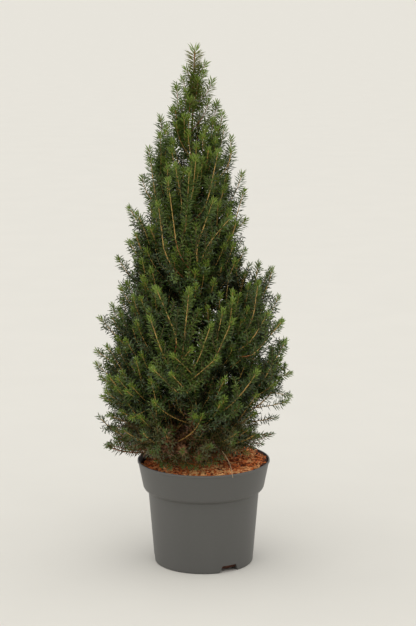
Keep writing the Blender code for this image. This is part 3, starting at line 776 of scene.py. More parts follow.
# Spruce bark on young wood: thin grey-brown flakes over a redder layer, dry and matt.
old_bark = new_material("spruce_bark", OLD_BARK, roughness=0.88, ior=1.45)
tree = old_bark.node_tree
place = add_node(tree, "ShaderNodeTexCoord", {}).outputs["Object"]
flakes = add_node(tree, "ShaderNodeTexVoronoi", {"Vector": place, "Scale": 1 / BARK_SCALE})
flake_tone = add_node(tree, "ShaderNodeMapRange",
                      {"Value": flakes, "From Max": 0.8, "To Min": 0.55, "To Max": 1.25})
vary_colour(old_bark, flake_tone)

wood = add_piece("trunk_and_boughs", wood_mesh, old_bark)
boughs = [f"bough_{limb.index + 1:02d}" for limb in limbs if limb.has_bough]
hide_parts("trunk", *boughs)
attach(wood, "root")


# Twigs
#
# Every limb carries long shoots, which rise to the crown's surface and run on up along it, and at
# the top they stand side by side like bottle brushes. Side shoots stand all round them. This year's
# wood is light tan, last year's more orange, and older wood is brown.

STEP = 0.007
SIDE_STEP = 0.011
# Shells of the crown that long shoots end on: from and to which height, the surface for each shoot by
# height, between which shares of the crown's reach, and how much less that is between two lobes.
OUTER_SHELL = (0.205, 0.735, ((0.20, 0.0017), (0.45, 0.0017), (0.60, 0.0013), (0.80, 0.0008)),
               (0.88, 1.02), 0.08)
INNER_SHELL = (0.215, 0.720, ((0.20, 0.0018), (0.56, 0.0015), (0.66, 0.0026), (0.74, 0.0036)),
               (0.52, 0.82), 0.0)
CORE_SHELL = (0.250, 0.700, ((0.20, 0.0050), (0.56, 0.0035), (0.66, 0.0080)), (0.18, 0.45), 0.0)
LOBE_SPAN = (0.015, 0.085)
SIDE_HOLD_BACKS = ((0.30, 0.03), (0.55, 0.05), (0.70, 0.14))
TO_THE_SIDE = (0.6, 0.9)
TURN_SCATTER = 0.15
LEVEL_SCATTER = 0.012
TIP_NEEDLES = 0.7
LEAST_REACH = 0.004
LEAST_ROUND = 0.012
INNER_DEPTH = 0.034
SKIRT_SHOOTS = 26
SKIRT_RADII = (0.035, 0.120)
SKIRT_RISES = (0.002, 0.026)

CURVE_LEAVES = 0.35
CURVE_ARRIVES = 0.48
CURVE_LONGER = 1.04
FOOT_STEP = 0.004
FEET_FROM = 0.6
WAY_COST = 0.20
FORWARD_COST = 0.05
SHORT_SHOOT = 0.02
SHORT_COST = 0.05
FOOT_FORWARD = 0.6
SHOOT_RISES = ((0.19, -8), (0.24, 28), (0.32, 52), (0.42, 66), (0.60, 77), (0.86, 86))
CHORD_LESS = 12
SHOOT_LENGTHS = ((0.19, 0.130), (0.62, 0.125), (0.76, 0.095), (0.81, 0.075), (0.86, 0.026))
SHOOT_SPREAD = 8
STEM_FOOT = 0.055

SIDE_SPACINGS = ((0.19, 0.0120), (0.50, 0.0135), (0.60, 0.0280), (0.67, 0.0600), (0.79, 0.0700))
SPACING_SCATTER = (0.8, 1.2)
INNER_SPARSER = 1.7
SIDE_LENGTHS = ((0.19, 0.046), (0.50, 0.042), (0.66, 0.030), (0.76, 0.020), (0.88, 0.015))
LENGTH_SCATTER = (0.75, 1.15)
LENGTH_AT_TIP = 0.010
LENGTH_GAIN = 0.45
SIDE_FIRST = 0.014
SIDE_LAST = 1.3
SIDE_SHORTEST = 0.010
SIDE_ANGLE = math.radians(43)
ANGLE_SCATTER = (0.8, 1.2)
SIDE_LIFT = 0.22
NEARLY_UP = (0.02, 0.01, 1)
SMALL_PARENT = 0.027
SMALL_SHOOTS = (0.010, 0.45, 1.6)
UPTURN = 3.0
TURN_UP = 0.5
TURN_IN = 0.4
OVERSHOOT = 0.006
EDGE_SCATTER = (0.002, 0.010)
BARE_DEPTH = 0.100
SIDES_DEPTH = BARE_DEPTH + 0.02
BARE_LIMB = 0.035

# For each order of twig, the radius of its wood at its tip and how much it gains per metre.
GIRTHS = ((0.0010, 0.0060), (0.0006, 0.0038), (0.0006, 0.0045), (0.0006, 0.0045))
MOST_LIMB_GIRTH = 0.0030
THICKENS_FOR = 0.12
FINER_WOOD = ((0.30, 1.0), (0.60, 0.85), (0.80, 0.70))
YOUNG_WOOD = 0.105
ORANGE_WOOD = 0.160
LOW_WOOD = 0.235
TAN_BELOW = 0.770
SHADED_OUT_BELOW = 0.270
DRY_DEPTH = 0.045
BARK_MOTTLE = (0.006, 0.72, 1.18)
# For each age of wood: its colour, its roughness, and how many sides its twigs have.
WOODS = {
    "young": ("#c39a54", 0.50, 5),
    "orange": ("#925a2e", 0.60, 5),
    "old": ("#704528", 0.80, 6),
    "side": ("#594f27", 0.55, 3),
    "dry": ("#73522f", 0.80, 3),
}

# How far needles part in front of the bark: on limbs, on the shoots listed below, on the shoots of a
# shell, which draw one of three, and on side shoots.
LIMB_PARTING = 0.5
STEM_PARTING = 1.0
LEAD_PARTING = 0.5
TOP_PARTING = 0.4
LOW_PARTING = 0.0
SHELL_PARTINGS = (0.0, 0.2, 0.7)
SIDE_PARTING = 0.2
GROWTH_SEED = 5

# The shoots that stand out furthest on the left, the right and at the top: where each ends, in mm
# from the pot's middle (to the right, to the back, up), and how steeply it gets there, in degrees.
LEAD_SHOOTS = (
    (-34, 0, 828, 78), (-44, -14, 814, 84), (3, 0, 852, 60), (-29, 0, 844, 55), (1, -5, 838, 65),
    (14, 5, 824, 76), (22, 5, 788, 85), (31, -10, 771, 84), (-24, -26, 767, 88), (-9, -8, 828, 86),
    (4, 20, 755, 70), (-52, 0, 777, 86), (-71, 10, 763, 86), (-62, -20, 744, 84), (46, 0, 730, 86),
    (47, -14, 712, 84), (-22, 20, 806, 84), (-6, 26, 776, 84), (22, 30, 744, 82), (-44, 30, 752, 82),
    (-91, 0, 712, 82), (-102, -20, 666, 78), (-125, 10, 612, 56), (-110, -30, 607, 62),
    (-124, -20, 558, 60), (-144, 0, 527, 58), (-138, -30, 482, 64), (-156, 20, 444, 72),
    (-175, 0, 425, 52), (-162, -30, 383, 58), (-182, 10, 366, 40), (-182, -10, 348, 44),
    (-177, 30, 316, 36), (-171, -20, 293, 30), (-179, 0, 253, 48), (-166, 0, 202, 4),
    (-165, 20, 338, 50), (-160, -35, 318, 40), (-165, 20, 278, 25), (-160, -25, 262, 20),
    (-163, 10, 230, 12), (-148, -40, 218, 2),
    (64, 5, 670, 78), (67, -15, 643, 74), (70, 0, 593, 50), (58, 10, 544, 60), (68, -30, 506, 72),
    (92, 0, 518, 84), (91, -20, 489, 84), (115, -5, 510, 82), (106, 10, 479, 84),
    (126, 0, 462, 74), (132, -10, 422, 52), (108, -25, 440, 60), (138, 0, 387, 66),
    (139, 12, 340, 50), (147, -10, 332, 20), (130, -25, 362, 60), (124, 25, 350, 50),
    (118, -35, 318, 40), (146, 0, 290, -18), (143, 14, 276, 14), (124, -10, 254, 10),
    (116, 0, 223, 30),
)

# More shoots close round the top of the trunk.
TOP_SHOOTS = (
    (-29, -14, 809, 86), (-37, -18, 789, 84), (-22, -20, 796, 88), (-32, -28, 767, 84),
    (-25, -34, 742, 86), (-1, 2, 808, 80), (8, 2, 791, 82), (16, -12, 761, 84),
    (3, -30, 748, 86), (21, -20, 747, 84), (-8, 14, 764, 84), (-45, -22, 755, 84),
    (-60, -12, 751, 84), (-14, -2, 831, 86), (-50, -30, 728, 84), (-72, -20, 737, 84),
    (34, -5, 747, 84), (-12, -40, 721, 86),
)

# Long shoots that stand out in front.
FRONT_SHOOTS = (
    (-23, -107, 486, 86), (14, -112, 439, 66), (25, -122, 382, 34), (48, -100, 440, 62),
    (73, -79, 456, 76), (48, -89, 486, 84), (90, -53, 481, 80), (113, -26, 432, 56),
    (-116, -66, 473, 76), (-109, -87, 435, 72), (-89, -96, 456, 74), (-73, -96, 489, 78),
    (-111, -104, 375, 66), (-126, -102, 322, 38), (-86, -121, 367, 44), (-118, -106, 278, -8),
    (90, -90, 360, 64), (-142, -85, 340, 50), (-128, -78, 403, 60), (-48, -91, 543, 80),
    (-88, -56, 587, 60), (-12, -81, 594, 84), (-33, -59, 683, 86), (-2, -54, 699, 86),
    (44, -56, 574, 56), (4, -91, 536, 76), (30, -62, 524, 80), (42, -56, 506, 78),
    (28, -84, 480, 76), (82, -60, 404, 68), (94, -52, 392, 62), (84, -48, 214, -2),
    (98, -30, 214, 2), (106, -16, 226, 6), (72, -66, 208, -4), (92, -44, 232, 8),
)

# Long shoots that show their bark from the tip down to a second place, both in mm.
LONG_STEMS = (
    (-74, -70, 629, -66, -86, 567), (-58, -68, 668, -45, -91, 572), (-46, -65, 692, -37, -74, 644),
    (-23, -72, 683, -28, -86, 601), (-12, -67, 704, -17, -73, 652), (24, -49, 712, 9, -69, 643),
    (16, -76, 636, -7, -92, 572), (45, -63, 606, 16, -84, 575),
    (-88, -22, 696, -78, -57, 634), (-76, -109, 493, -48, -125, 430), (-87, -116, 448, -76, -122, 416),
    (-23, -119, 495, -33, -134, 398), (12, -128, 438, -5, -135, 390), (47, -116, 444, 24, -128, 394),
    (32, -118, 461, 25, -120, 429), (48, -108, 476, 45, -107, 454), (22, -138, 386, -2, -140, 365),
    (-20, -140, 401, -31, -137, 387), (-49, -142, 390, -31, -140, 373), (-82, -139, 368, -57, -144, 344),
    (-52, -148, 361, -41, -145, 348), (90, -72, 498, 83, -83, 451), (107, -68, 447, 85, -92, 415),
    (131, -36, 426, 90, -94, 390), (137, -38, 392, 114, -77, 361), (88, -114, 357, 76, -118, 340),
)

# Low shoots that hang over the mulch in front.
LOW_SHOOTS = (
    (-78, -56, 192, -12), (-68, -80, 189, -14), (-56, -86, 188, -14), (-12, -92, 189, -12),
    (8, -90, 195, -10), (30, -70, 200, -8), (-62, -60, 190, -12), (-70, -68, 190, -12),
    (20, -82, 196, -10), (-34, -84, 190, -12), (-44, -70, 190, -10), (-2, -76, 192, -10),
)

# Gaps through the skirt on the right, which fall away towards the back: from and to, to the right
# and up, and how far they fall. In front of the trunk there is one more.
OPENINGS = (((0.082, 0.122), (0.262, 0.288)), ((0.088, 0.110), (0.222, 0.238)))
TRUNK_VIEW = ((-0.048, -0.026), (0.198, 0.262), -0.012)
OPENING_FALL = 0.24
LEFT_LIFT = 0.018
LEFT_LIFT_PLACES = (0.074, 0.096)


def between(table, z):
    """The value at this height in a table of (height, value) rows, evenly between the rows."""
    return float(np.interp(z, [row[0] for row in table], [row[1] for row in table]))


def in_opening(point):
    up = point.z + OPENING_FALL * point.y
    (a, b), (c, d), front = TRUNK_VIEW
    if point.y < front and a < point.x < b and c < up < d:
        return True
    return any(a < point.x < b and c < up < d for (a, b), (c, d) in OPENINGS)


def hang_floor(x):
    """The lowest that twigs hang here: on the far left they clear the rim and show the mulch."""
    return leaf_floor(x) + LEFT_LIFT * smooth_step(*LEFT_LIFT_PLACES, -x)


def round_trunk(point):
    """A point's compass angle and distance from the trunk."""
    axis = trunk_axis(point.z)
    across, back = point.x - axis.x, point.y - axis.y
    return math.atan2(back, across), math.hypot(back, across)


def depth_below(point):
    """How far a point lies inside the crown's surface, in metres."""
    azimuth, away = round_trunk(point)
    return crown_reach(point.z, azimuth) - away


def shell_tips(chance, first, last, shares, reaches, dip):
    """Places where long shoots end, winding up a shell of the crown.

    They stand out most near the tip of a limb, so that each limb makes a lobe of the crown.
    """
    limb_tips = np.array([limb.corners[3] for limb in limbs])
    tips = []
    z, azimuth = first, FIRST_AZIMUTH
    while z < last:
        way = azimuth + chance.uniform(-TURN_SCATTER, TURN_SCATTER)
        level = z + chance.uniform(-LEVEL_SCATTER, LEVEL_SCATTER) + skirt_lift(z, way)
        reach = crown_reach(level, way)
        axis = trunk_axis(level)
        full = axis + outward(way, 0) * reach
        to_lobe = float(np.sqrt(((limb_tips - np.array(full)) ** 2).sum(axis=1)).min())
        share = chance.uniform(*reaches) - dip * smooth_step(*LOBE_SPAN, to_lobe)
        if dip:
            share -= between(SIDE_HOLD_BACKS, level) * smooth_step(*TO_THE_SIDE, abs(math.cos(way)))
        used = (reach - NEEDLE_REACH * TIP_NEEDLES) * share
        tips.append((axis + outward(way, 0) * max(LEAST_REACH, used), way))
        z += between(shares, z) / (math.tau * max(reach, LEAST_ROUND))
        azimuth += GOLDEN_ANGLE
    return tips


def skirt_tips(chance):
    """Places close over the mulch, inside the skirt, where low shoots end."""
    foot = trunk_axis(LOWEST_TIP)
    tips = []
    for k in range(SKIRT_SHOOTS):
        way = k * GOLDEN_ANGLE
        end = foot + outward(way, 0) * chance.uniform(*SKIRT_RADII)
        end.z = hang_floor(end.x) + chance.uniform(*SKIRT_RISES)
        tips.append((end, way))
    return tips


def curve_through(start, leaves, end, arrives, step):
    """Points on the curve that leaves one place in one direction and reaches another in another."""
    span = (end - start).length
    b, c = start + leaves * span * CURVE_LEAVES, end - arrives * span * CURVE_ARRIVES
    count = max(2, round(span * CURVE_LONGER / step))
    return [curve_point(start, b, c, end, k / count) for k in range(count + 1)]


foot_points, foot_ways = [], []
for limb in limbs:
    walk = limb.walk(FOOT_STEP)
    for k in range(1, len(walk)):
        if not limb.has_bough or k / len(walk) >= BOUGH_SHARE * FEET_FROM:
            foot_points.append(walk[k])
            foot_ways.append((walk[k] - walk[k - 1]).normalized())
foot_points = np.array(foot_points)
foot_ways = np.array(foot_ways)


def best_foot(tip, way, rise, reach):
    """The place on the limbs that a long shoot of about this reach, to this tip, would spring from."""
    wanted = np.array(outward(way, math.radians(rise - CHORD_LESS)))
    chords = np.array(tip) - foot_points
    spans = np.sqrt((chords ** 2).sum(axis=1))
    chords = chords / np.maximum(spans, 1e-6)[:, None]
    cost = np.abs(spans - reach) + WAY_COST * (1 - chords @ wanted)
    cost += FORWARD_COST * (1 - (chords * foot_ways).sum(axis=1)) + SHORT_COST * (spans < SHORT_SHOOT)
    best = int(cost.argmin())
    return Vector(foot_points[best]), Vector(foot_ways[best])


def shoot_from(foot, forward, tip, arrives):
    """A long shoot's points, from its foot on a limb that runs forward there to its tip."""
    leaves = (forward * FOOT_FORWARD + (tip - foot).normalized()).normalized()
    return curve_through(foot, leaves, tip, arrives, STEP)


def long_shoot(tip, way, rise):
    """The points of a long shoot that reaches this tip this steeply."""
    return shoot_from(*best_foot(tip, way, rise, between(SHOOT_LENGTHS, tip.z)), tip,
                      outward(way, math.radians(rise)))


def long_stem(tip, through):
    """The points of a long shoot that runs through a place below its tip, and straight on to the tip."""
    heading = (tip - through).normalized()
    reach = max(STEM_FOOT, between(SHOOT_LENGTHS, through.z) - (tip - through).length)
    foot = best_foot(through, round_trunk(through)[0], between(SHOOT_RISES, through.z), reach)
    return shoot_from(*foot, through, heading)[:-1] + curve_through(through, heading, tip, heading, STEP)


def grow(start, direction, length, limit):
    """A side shoot's points: it turns up as it grows, and stops a little outside the crown."""
    count = max(2, round(length / SIDE_STEP))
    step = length / count
    points = [start]
    heading = direction.copy()
    for _ in range(count):
        heading = (heading + Vector((0, 0, UPTURN * step))).normalized()
        ahead = points[-1] + heading * step
        if depth_below(ahead) < limit:
            axis = trunk_axis(ahead.z)
            inward = Vector((axis.x - ahead.x, axis.y - ahead.y, 0)).normalized()
            heading = (heading + Vector((0, 0, TURN_UP)) + inward * TURN_IN).normalized()
            ahead = points[-1] + heading * step
        outside = depth_below(ahead) < limit - OVERSHOOT
        if outside or in_opening(ahead) or not hang_floor(ahead.x) < ahead.z < TREE_TOP - OVERSHOOT:
            break
        points.append(ahead)
    return points


def branch_off(chance, parent, place, spin):
    """The direction in which a side shoot leaves its parent at one of the parent's points."""
    forward = (parent[min(place + 1, len(parent) - 1)] - parent[max(place - 1, 0)]).normalized()
    across, over = sideways(forward, NEARLY_UP)
    way = across * math.cos(spin) + over * math.sin(spin)
    angle = SIDE_ANGLE * chance.uniform(*ANGLE_SCATTER)
    return (forward * math.cos(angle) + way * math.sin(angle) + Vector((0, 0, SIDE_LIFT))).normalized()


def length_of(points):
    return sum((b - a).length for a, b in zip(points, points[1:]))


def side_shoots(chance, parent, first, share, sparser):
    """Shoots that wind up a parent, each as long as its distance from the parent's tip allows."""
    found = []
    spin = chance.uniform(0, math.tau)
    parent_step = length_of(parent) / (len(parent) - 1)
    edge = min(0.0, depth_below(parent[-1]))
    place = first / parent_step
    while place < len(parent) - SIDE_LAST:
        spot = parent[int(place)].lerp(parent[int(place) + 1], place % 1)
        to_tip = (len(parent) - 1 - place) * parent_step
        spin += GOLDEN_ANGLE
        if depth_below(spot) < SIDES_DEPTH:
            direction = branch_off(chance, parent, int(place), spin)
            longest = between(SIDE_LENGTHS, spot.z) * share
            length = min(longest, LENGTH_AT_TIP + LENGTH_GAIN * to_tip) * chance.uniform(*LENGTH_SCATTER)
            points = grow(spot, direction, length, edge + chance.uniform(*EDGE_SCATTER))
            if length_of(points) >= SIDE_SHORTEST:
                found.append(points)
        spacing = between(SIDE_SPACINGS, spot.z) * sparser / parent_step
        place += spacing * chance.uniform(*SPACING_SCATTER)
    return found


# One record for each twig: its points, its order (0 limb, 1 long shoot, 2 and 3 side shoots), and how
# far its needles part in front of its bark.
chance = random.Random(GROWTH_SEED)
twigs = [(limb.walk(STEP), 0, LIMB_PARTING) for limb in limbs]
for row in LONG_STEMS:
    twigs.append((long_stem(Vector(row[:3]) / 1000, Vector(row[3:]) / 1000), 1, STEM_PARTING))
for rows, parting in ((FRONT_SHOOTS, LEAD_PARTING), (LEAD_SHOOTS, LEAD_PARTING),
                      (TOP_SHOOTS, TOP_PARTING), (LOW_SHOOTS, LOW_PARTING)):
    for x, y, z, rise in rows:
        tip = Vector((x, y, z)) / 1000
        twigs.append((long_shoot(tip, round_trunk(tip)[0], rise), 1, parting))
ends = shell_tips(chance, *OUTER_SHELL) + skirt_tips(chance)
ends += shell_tips(chance, *INNER_SHELL) + shell_tips(chance, *CORE_SHELL)
for tip, way in ends:
    rise = between(SHOOT_RISES, tip.z) + chance.gauss(0, SHOOT_SPREAD)
    shoot = long_shoot(tip, way + chance.gauss(0, TURN_SCATTER), rise)
    if not in_opening(tip) and not in_opening(shoot[len(shoot) * 2 // 3]):
        twigs.append((shoot, 1, chance.choice(SHELL_PARTINGS)))
for points, order, _ in twigs[:len(limbs) - 1] + twigs[len(limbs):]:
    inner = depth_below(points[-1]) > INNER_DEPTH
    sparser = INNER_SPARSER if inner else 1.0
    for side in side_shoots(chance, points, SIDE_FIRST if order else BARE_LIMB, 1.0, sparser):
        twigs.append((side, 2, SIDE_PARTING))
        if length_of(side) > SMALL_PARENT and not inner:
            for small in side_shoots(chance, side, *SMALL_SHOOTS):
                twigs.append((small, 3, SIDE_PARTING))


def girth(order, to_tip, z):
    """The radius of a twig's wood this far from its tip: long shoots are thinner higher up."""
    tip, gain = GIRTHS[order]
    if order == 0:
        return min(MOST_LIMB_GIRTH, tip + gain * to_tip)
    if order == 1:
        return (tip + gain * min(to_tip, THICKENS_FOR)) * between(FINER_WOOD, z)
    return tip + gain * to_tip


def lines_mesh(name, lines, **attributes):
    """A mesh of open lines, with a value for each point under each attribute's name."""
    edges, start = [], 0
    for line in lines:
        edges += [(start + k, start + k + 1) for k in range(len(line) - 1)]
        start += len(line)
    mesh = plain_mesh(name, [p for line in lines for p in line], [], edges)
    for key, values in attributes.items():
        data = mesh.attributes.new(key, "FLOAT", "POINT")
        data.data.foreach_set("value", [v for line in values for v in line])
    return mesh


# A tree that turns open lines into round tapering twigs with closed ends.
tree, given = new_tree("round_twigs", {"Sides": "Int"})
curve = add_node(tree, "GeometryNodeMeshToCurve", {"Mesh": given["Geometry"]})
thick = add_node(tree, "GeometryNodeInputNamedAttribute", {"Name": "girth"}, data_type="FLOAT")
section = add_node(tree, "GeometryNodeCurvePrimitiveCircle", {"Resolution": given["Sides"], "Radius": 1.0})
solid = add_node(tree, "GeometryNodeCurveToMesh",
                 {"Curve": curve, "Profile Curve": section, "Scale": thick, "Fill Caps": True})
smooth = add_node(tree, "GeometryNodeSetShadeSmooth", {"Geometry": solid})
round_twigs = finish_tree(tree, given, smooth)

wood_lines = {kind: [] for kind in WOODS}
for fine_points, order, _ in twigs:
    points = fine_points if order > 1 else fine_points[:-1:2] + fine_points[-1:]
    spans = [(b - a).length for a, b in zip(points, points[1:])]
    to_tips = [sum(spans[k:]) for k in range(len(points))]
    thickness = [girth(order, to_tip, p.z) for to_tip, p in zip(to_tips, points)]
    if order > 1:
        dry = points[0].z < SHADED_OUT_BELOW and depth_below(points[0]) > DRY_DEPTH
        wood_lines["dry" if dry else "side"].append((points, thickness))
        continue
    young = YOUNG_WOOD if LOW_WOOD < points[-1].z < TAN_BELOW else 0.0
    ages = ["young" if t < young else "orange" if t < ORANGE_WOOD else "old" for t in to_tips]
    for age in ("old", "orange", "young"):
        held = [k for k, a in enumerate(ages) if a == age]
        if held and held[0] < len(points) - 1:
            stretch = slice(held[0], held[-1] + 2)
            wood_lines[age].append((points[stretch], thickness[stretch]))

# Spruce wood, mottled along its length: this year's has a smooth tan skin with a dull shine, last
# year's has turned orange-brown, older wood is brown and dry, side shoots are thin and still
# greenish, and the shaded ones low inside have died and dried.
for kind, (colour, roughness, sides) in WOODS.items():
    bark = new_material(f"{kind}_spruce_shoot", colour, roughness, ior=1.45, mottle=BARK_MOTTLE)
    lines, thickness = zip(*wood_lines[kind])
    shoots = grown(f"{kind}_shoots", lines_mesh(kind, lines, girth=thickness), round_twigs,
                   {"Sides": sides}, bark)
    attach(shoots, "root")


# Dry strand
#
# A dead stalk of straw, under a millimetre thick. It is caught in the skirt, and hangs out over the
# rim at the front right.

STRAND_FOOT = Vector((0.031, -0.078, 0.214))
STRAND_FALLS = Vector((0.45, -0.35, -0.55))
STRAND_ON_RIM = Vector((0.0475, -0.1035, 0.1822))
STRAND_OVER_RIM = Vector((0.1, -0.75, -0.65))
STRAND_END = Vector((0.0488, -0.1066, 0.1755))
STRAND_HANGS = Vector((0.1, -0.1, -1.0))
STRAND_STEP = 0.003
STRAND_RADIUS = 0.0004
STRAW = "#b8a07c"

strand = curve_through(STRAND_FOOT, STRAND_FALLS, STRAND_ON_RIM, STRAND_OVER_RIM, STRAND_STEP)
strand += curve_through(STRAND_ON_RIM, STRAND_OVER_RIM, STRAND_END, STRAND_HANGS, STRAND_STEP)[1:]
strand_line = lines_mesh("strand", [strand], girth=[[STRAND_RADIUS] * len(strand)])
# Dry straw: pale, dull, and mottled along its length.
straw = new_material("dry_straw", STRAW, roughness=0.7, ior=1.45, mottle=(0.004, 0.8, 1.15))
stalk = grown("dry_strand", strand_line, round_twigs, {"Sides": 6}, straw)
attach(stalk, "root")


# Needles
#
# Four-sided spruce needles, about a centimetre long, each on a small peg all round its shoot. They
# lean forward and part a little on the side that faces out, where the tan bark shows. The newest
# ones stand in a tuft at each tip, bright near the crown's surface as painted light and darker further
# in as painted shade. Needles further inside the crown get darker tints, which are painted shade, and
# the ones deepest inside the crown have dropped.

NEEDLE_LENGTHS = ((0.19, 0.0120), (0.45, 0.0122), (0.65, 0.0135), (0.75, 0.0145), (0.85, 0.0150),
                  (0.88, 0.0235))
SIDE_NEEDLES = 0.76
TUFT_NEEDLES = 0.8
NEEDLE_TILT = math.radians(68)
TUFT_TILT = math.radians(54)
TUFT_CLOSING = 0.4
TILT_SCATTER = (0.80, 1.12)
LENGTHS_SCATTER = (0.78, 1.12)
SPIN_SCATTER = (-0.35, 0.35)
PARTINGS = ((0.30, 0.60), (0.50, 0.60), (0.70, 0.50), (0.80, 0.0))
LEADER_FACING = 0.003
WIDEST_SHARE = 0.55
MOST_TRIANGLES = 190000
# How far down from a long shoot's tip its tuft, its neck and this year's needles reach.
TUFT_LENGTH = 0.008
NECK_LENGTH = 0.019
OLD_NEEDLES = 0.055
# Needles more than this far down a long shoot take a darker tint, partly for their own age and partly as
# painted shade because they stand further in. Past the shade depth they take the shade tint, which is
# painted shade.
DARKER_WITH_AGE_AND_SHADE = {"leaf": "mid", "mid": "deep", "deep": "deep"}
SHADE_DEPTH = 0.045
# Tips nearer the crown's surface than this, and not below the height after it, get a bright tuft and a
# lighter neck, which is painted light. The others get a darker tuft, which is painted shade.
BRIGHT_DEPTH = 0.03
DULL_BELOW = 0.26
LEADER_FROM = 0.865
# Where in the crown each mix of tints is, and how likely each tint is in it.
DEAD_BELOW = 0.235
DEAD_DEPTH = 0.060
SHADED_OUT_WIDTH = 0.024
DEAD_MIX = {"dead": 0.34, "low": 0.66}
LOW_SHARE = 0.85
LOW_FADE = (0.20, 0.29)
TOP_FROM = 0.80
TOP_MIX = {"top": 0.4, "neck": 0.3, "crest": 0.3}
UPPER_FROM = 0.74
UPPER_MIX = {"top": 0.4, "neck": 0.4, "mid": 0.2}
CREST_FROM = 0.60
CREST_DEPTH = 0.034
CREST_MIX = {"crest": 0.55, "neck": 0.2, "deep": 0.25}
# Needles deeper in the crown than these take darker mixes or the shade tint: painted shade.
DARK_DEPTH = 0.048
DUSK_DEPTH = 0.028
PAINTED_SHADE_MIX = {"shade": 0.15, "deep": 0.5, "mid": 0.35}
OUTER_MIX = {"mid": 0.40, "leaf": 0.25, "deep": 0.35}
# For each tint: its colour, the spacing and the width of its needles in mm, a seed, and the roughness
# and IOR of its skin. The shaded ones have lost their wax. The near black of shade is painted shade
# for needles deep in the crown; deep is a dark green dealt out at random and, further in, as painted shade.
NEEDLE_TINTS = {
    "mid": ("#40551e", 1.60, 1.9, 21, 0.36, 1.50),
    "leaf": ("#5a6c28", 1.60, 1.9, 22, 0.36, 1.50),
    "deep": ("#2c3e13", 1.60, 1.9, 23, 0.36, 1.50),
    "shade": ("#202b0c", 2.30, 2.2, 24, 0.60, 1.35),
    "low": ("#4b4c20", 1.60, 1.8, 25, 0.36, 1.50),
    "dead": ("#734d2f", 1.70, 1.7, 26, 0.36, 1.50),
    "top": ("#626c2c", 0.60, 1.8, 27, 0.36, 1.50),
    "lead": ("#6e702e", 0.36, 1.8, 29, 0.36, 1.50),
    "crest": ("#495c21", 0.70, 1.8, 30, 0.36, 1.50),
    "neck": ("#4e6121", 0.85, 1.9, 28, 0.36, 1.50),
}
# The bright tufts are painted light for tips in the light, and the second, darker tint is painted shade.
TUFT_TINTS = {
    "bright": ("#71862f", 0.50, 1.8, 31, 0.40, 1.45),
    "fresh": ("#506427", 0.70, 1.8, 32, 0.40, 1.45),
}


def needle_shape(name, widest, first, faces):
    """One needle of unit length along +Z, with three sides that are widest at this share of it."""
    turns = (0, math.tau / 3, math.tau * 2 / 3)
    ring = [Vector((0.5 * math.cos(a), 0.5 * math.sin(a), widest)) for a in turns]
    return bpy.data.objects.new(name, plain_mesh(name, first + ring + [Vector((0, 0, 1))], faces))


# A spindle, pointed at both ends, and a plainer spike for the needles inside the crown, whose dark tint is
# painted shade.
needle = needle_shape("needle_shape", WIDEST_SHARE, [Vector((0, 0, 0))],
                      [(0, 2, 1), (0, 3, 2), (0, 1, 3), (1, 2, 4), (2, 3, 4), (3, 1, 4)])
thorn = needle_shape("thorn_shape", 0, [], [(2, 1, 0), (0, 1, 3), (1, 2, 3), (2, 0, 3)])


# A tree that sets needles round open lines, in a spiral, leaning forward and parted on the outer side.
tree, given = new_tree("needles_on_shoots", {"Spacing": "Float", "Width": "Float", "Tilt": "Float",
                                             "Closing": "Float", "Seed": "Int", "Needle": "Object"})
scatters = []
for least, most in (SPIN_SCATTER, TILT_SCATTER, LENGTHS_SCATTER):
    drawn = add_node(tree, "FunctionNodeRandomValue", {2: least, 3: most, "Seed": given["Seed"]},
                     data_type="FLOAT")
    scatters.append(drawn.outputs[1])
jitter, lean, growth = scatters
curve = add_node(tree, "GeometryNodeMeshToCurve", {"Mesh": given["Geometry"]})
spots = add_node(tree, "GeometryNodeResampleCurve", {"Curve": curve, "Length": given["Spacing"]},
                 mode="LENGTH")
# Each needle starts along its shoot, and its turns are counted from the side that faces out.
tangent = add_node(tree, "GeometryNodeInputTangent", {})
out_side = add_node(tree, "GeometryNodeInputNamedAttribute", {"Name": "out_side"},
                    data_type="FLOAT_VECTOR")
facing = add_node(tree, "FunctionNodeAxesToRotation", {"Primary Axis": tangent, "Secondary Axis": out_side},
                  primary_axis="Z", secondary_axis="X")
# It turns round the shoot by its place in the spiral, and away from the parting.
index = add_node(tree, "GeometryNodeInputIndex", {})
turn = add_node(tree, "ShaderNodeMath", {0: index, 1: GOLDEN_ANGLE}, operation="MULTIPLY")
spin = add_node(tree, "ShaderNodeMath", {0: turn, 1: jitter}, operation="ADD")
wave = add_node(tree, "ShaderNodeMath", {0: spin}, operation="SINE")
parting = add_node(tree, "GeometryNodeInputNamedAttribute", {"Name": "parting"}, data_type="FLOAT")
parted = add_node(tree, "ShaderNodeMath", {0: wave, 1: parting, 2: spin}, operation="MULTIPLY_ADD")
rolled = add_node(tree, "ShaderNodeCombineXYZ", {"Z": parted})
roll = add_node(tree, "FunctionNodeEulerToRotation", {"Euler": rolled})
turned = add_node(tree, "FunctionNodeRotateRotation", {"Rotation": facing, "Rotate By": roll},
                  rotation_space="LOCAL")
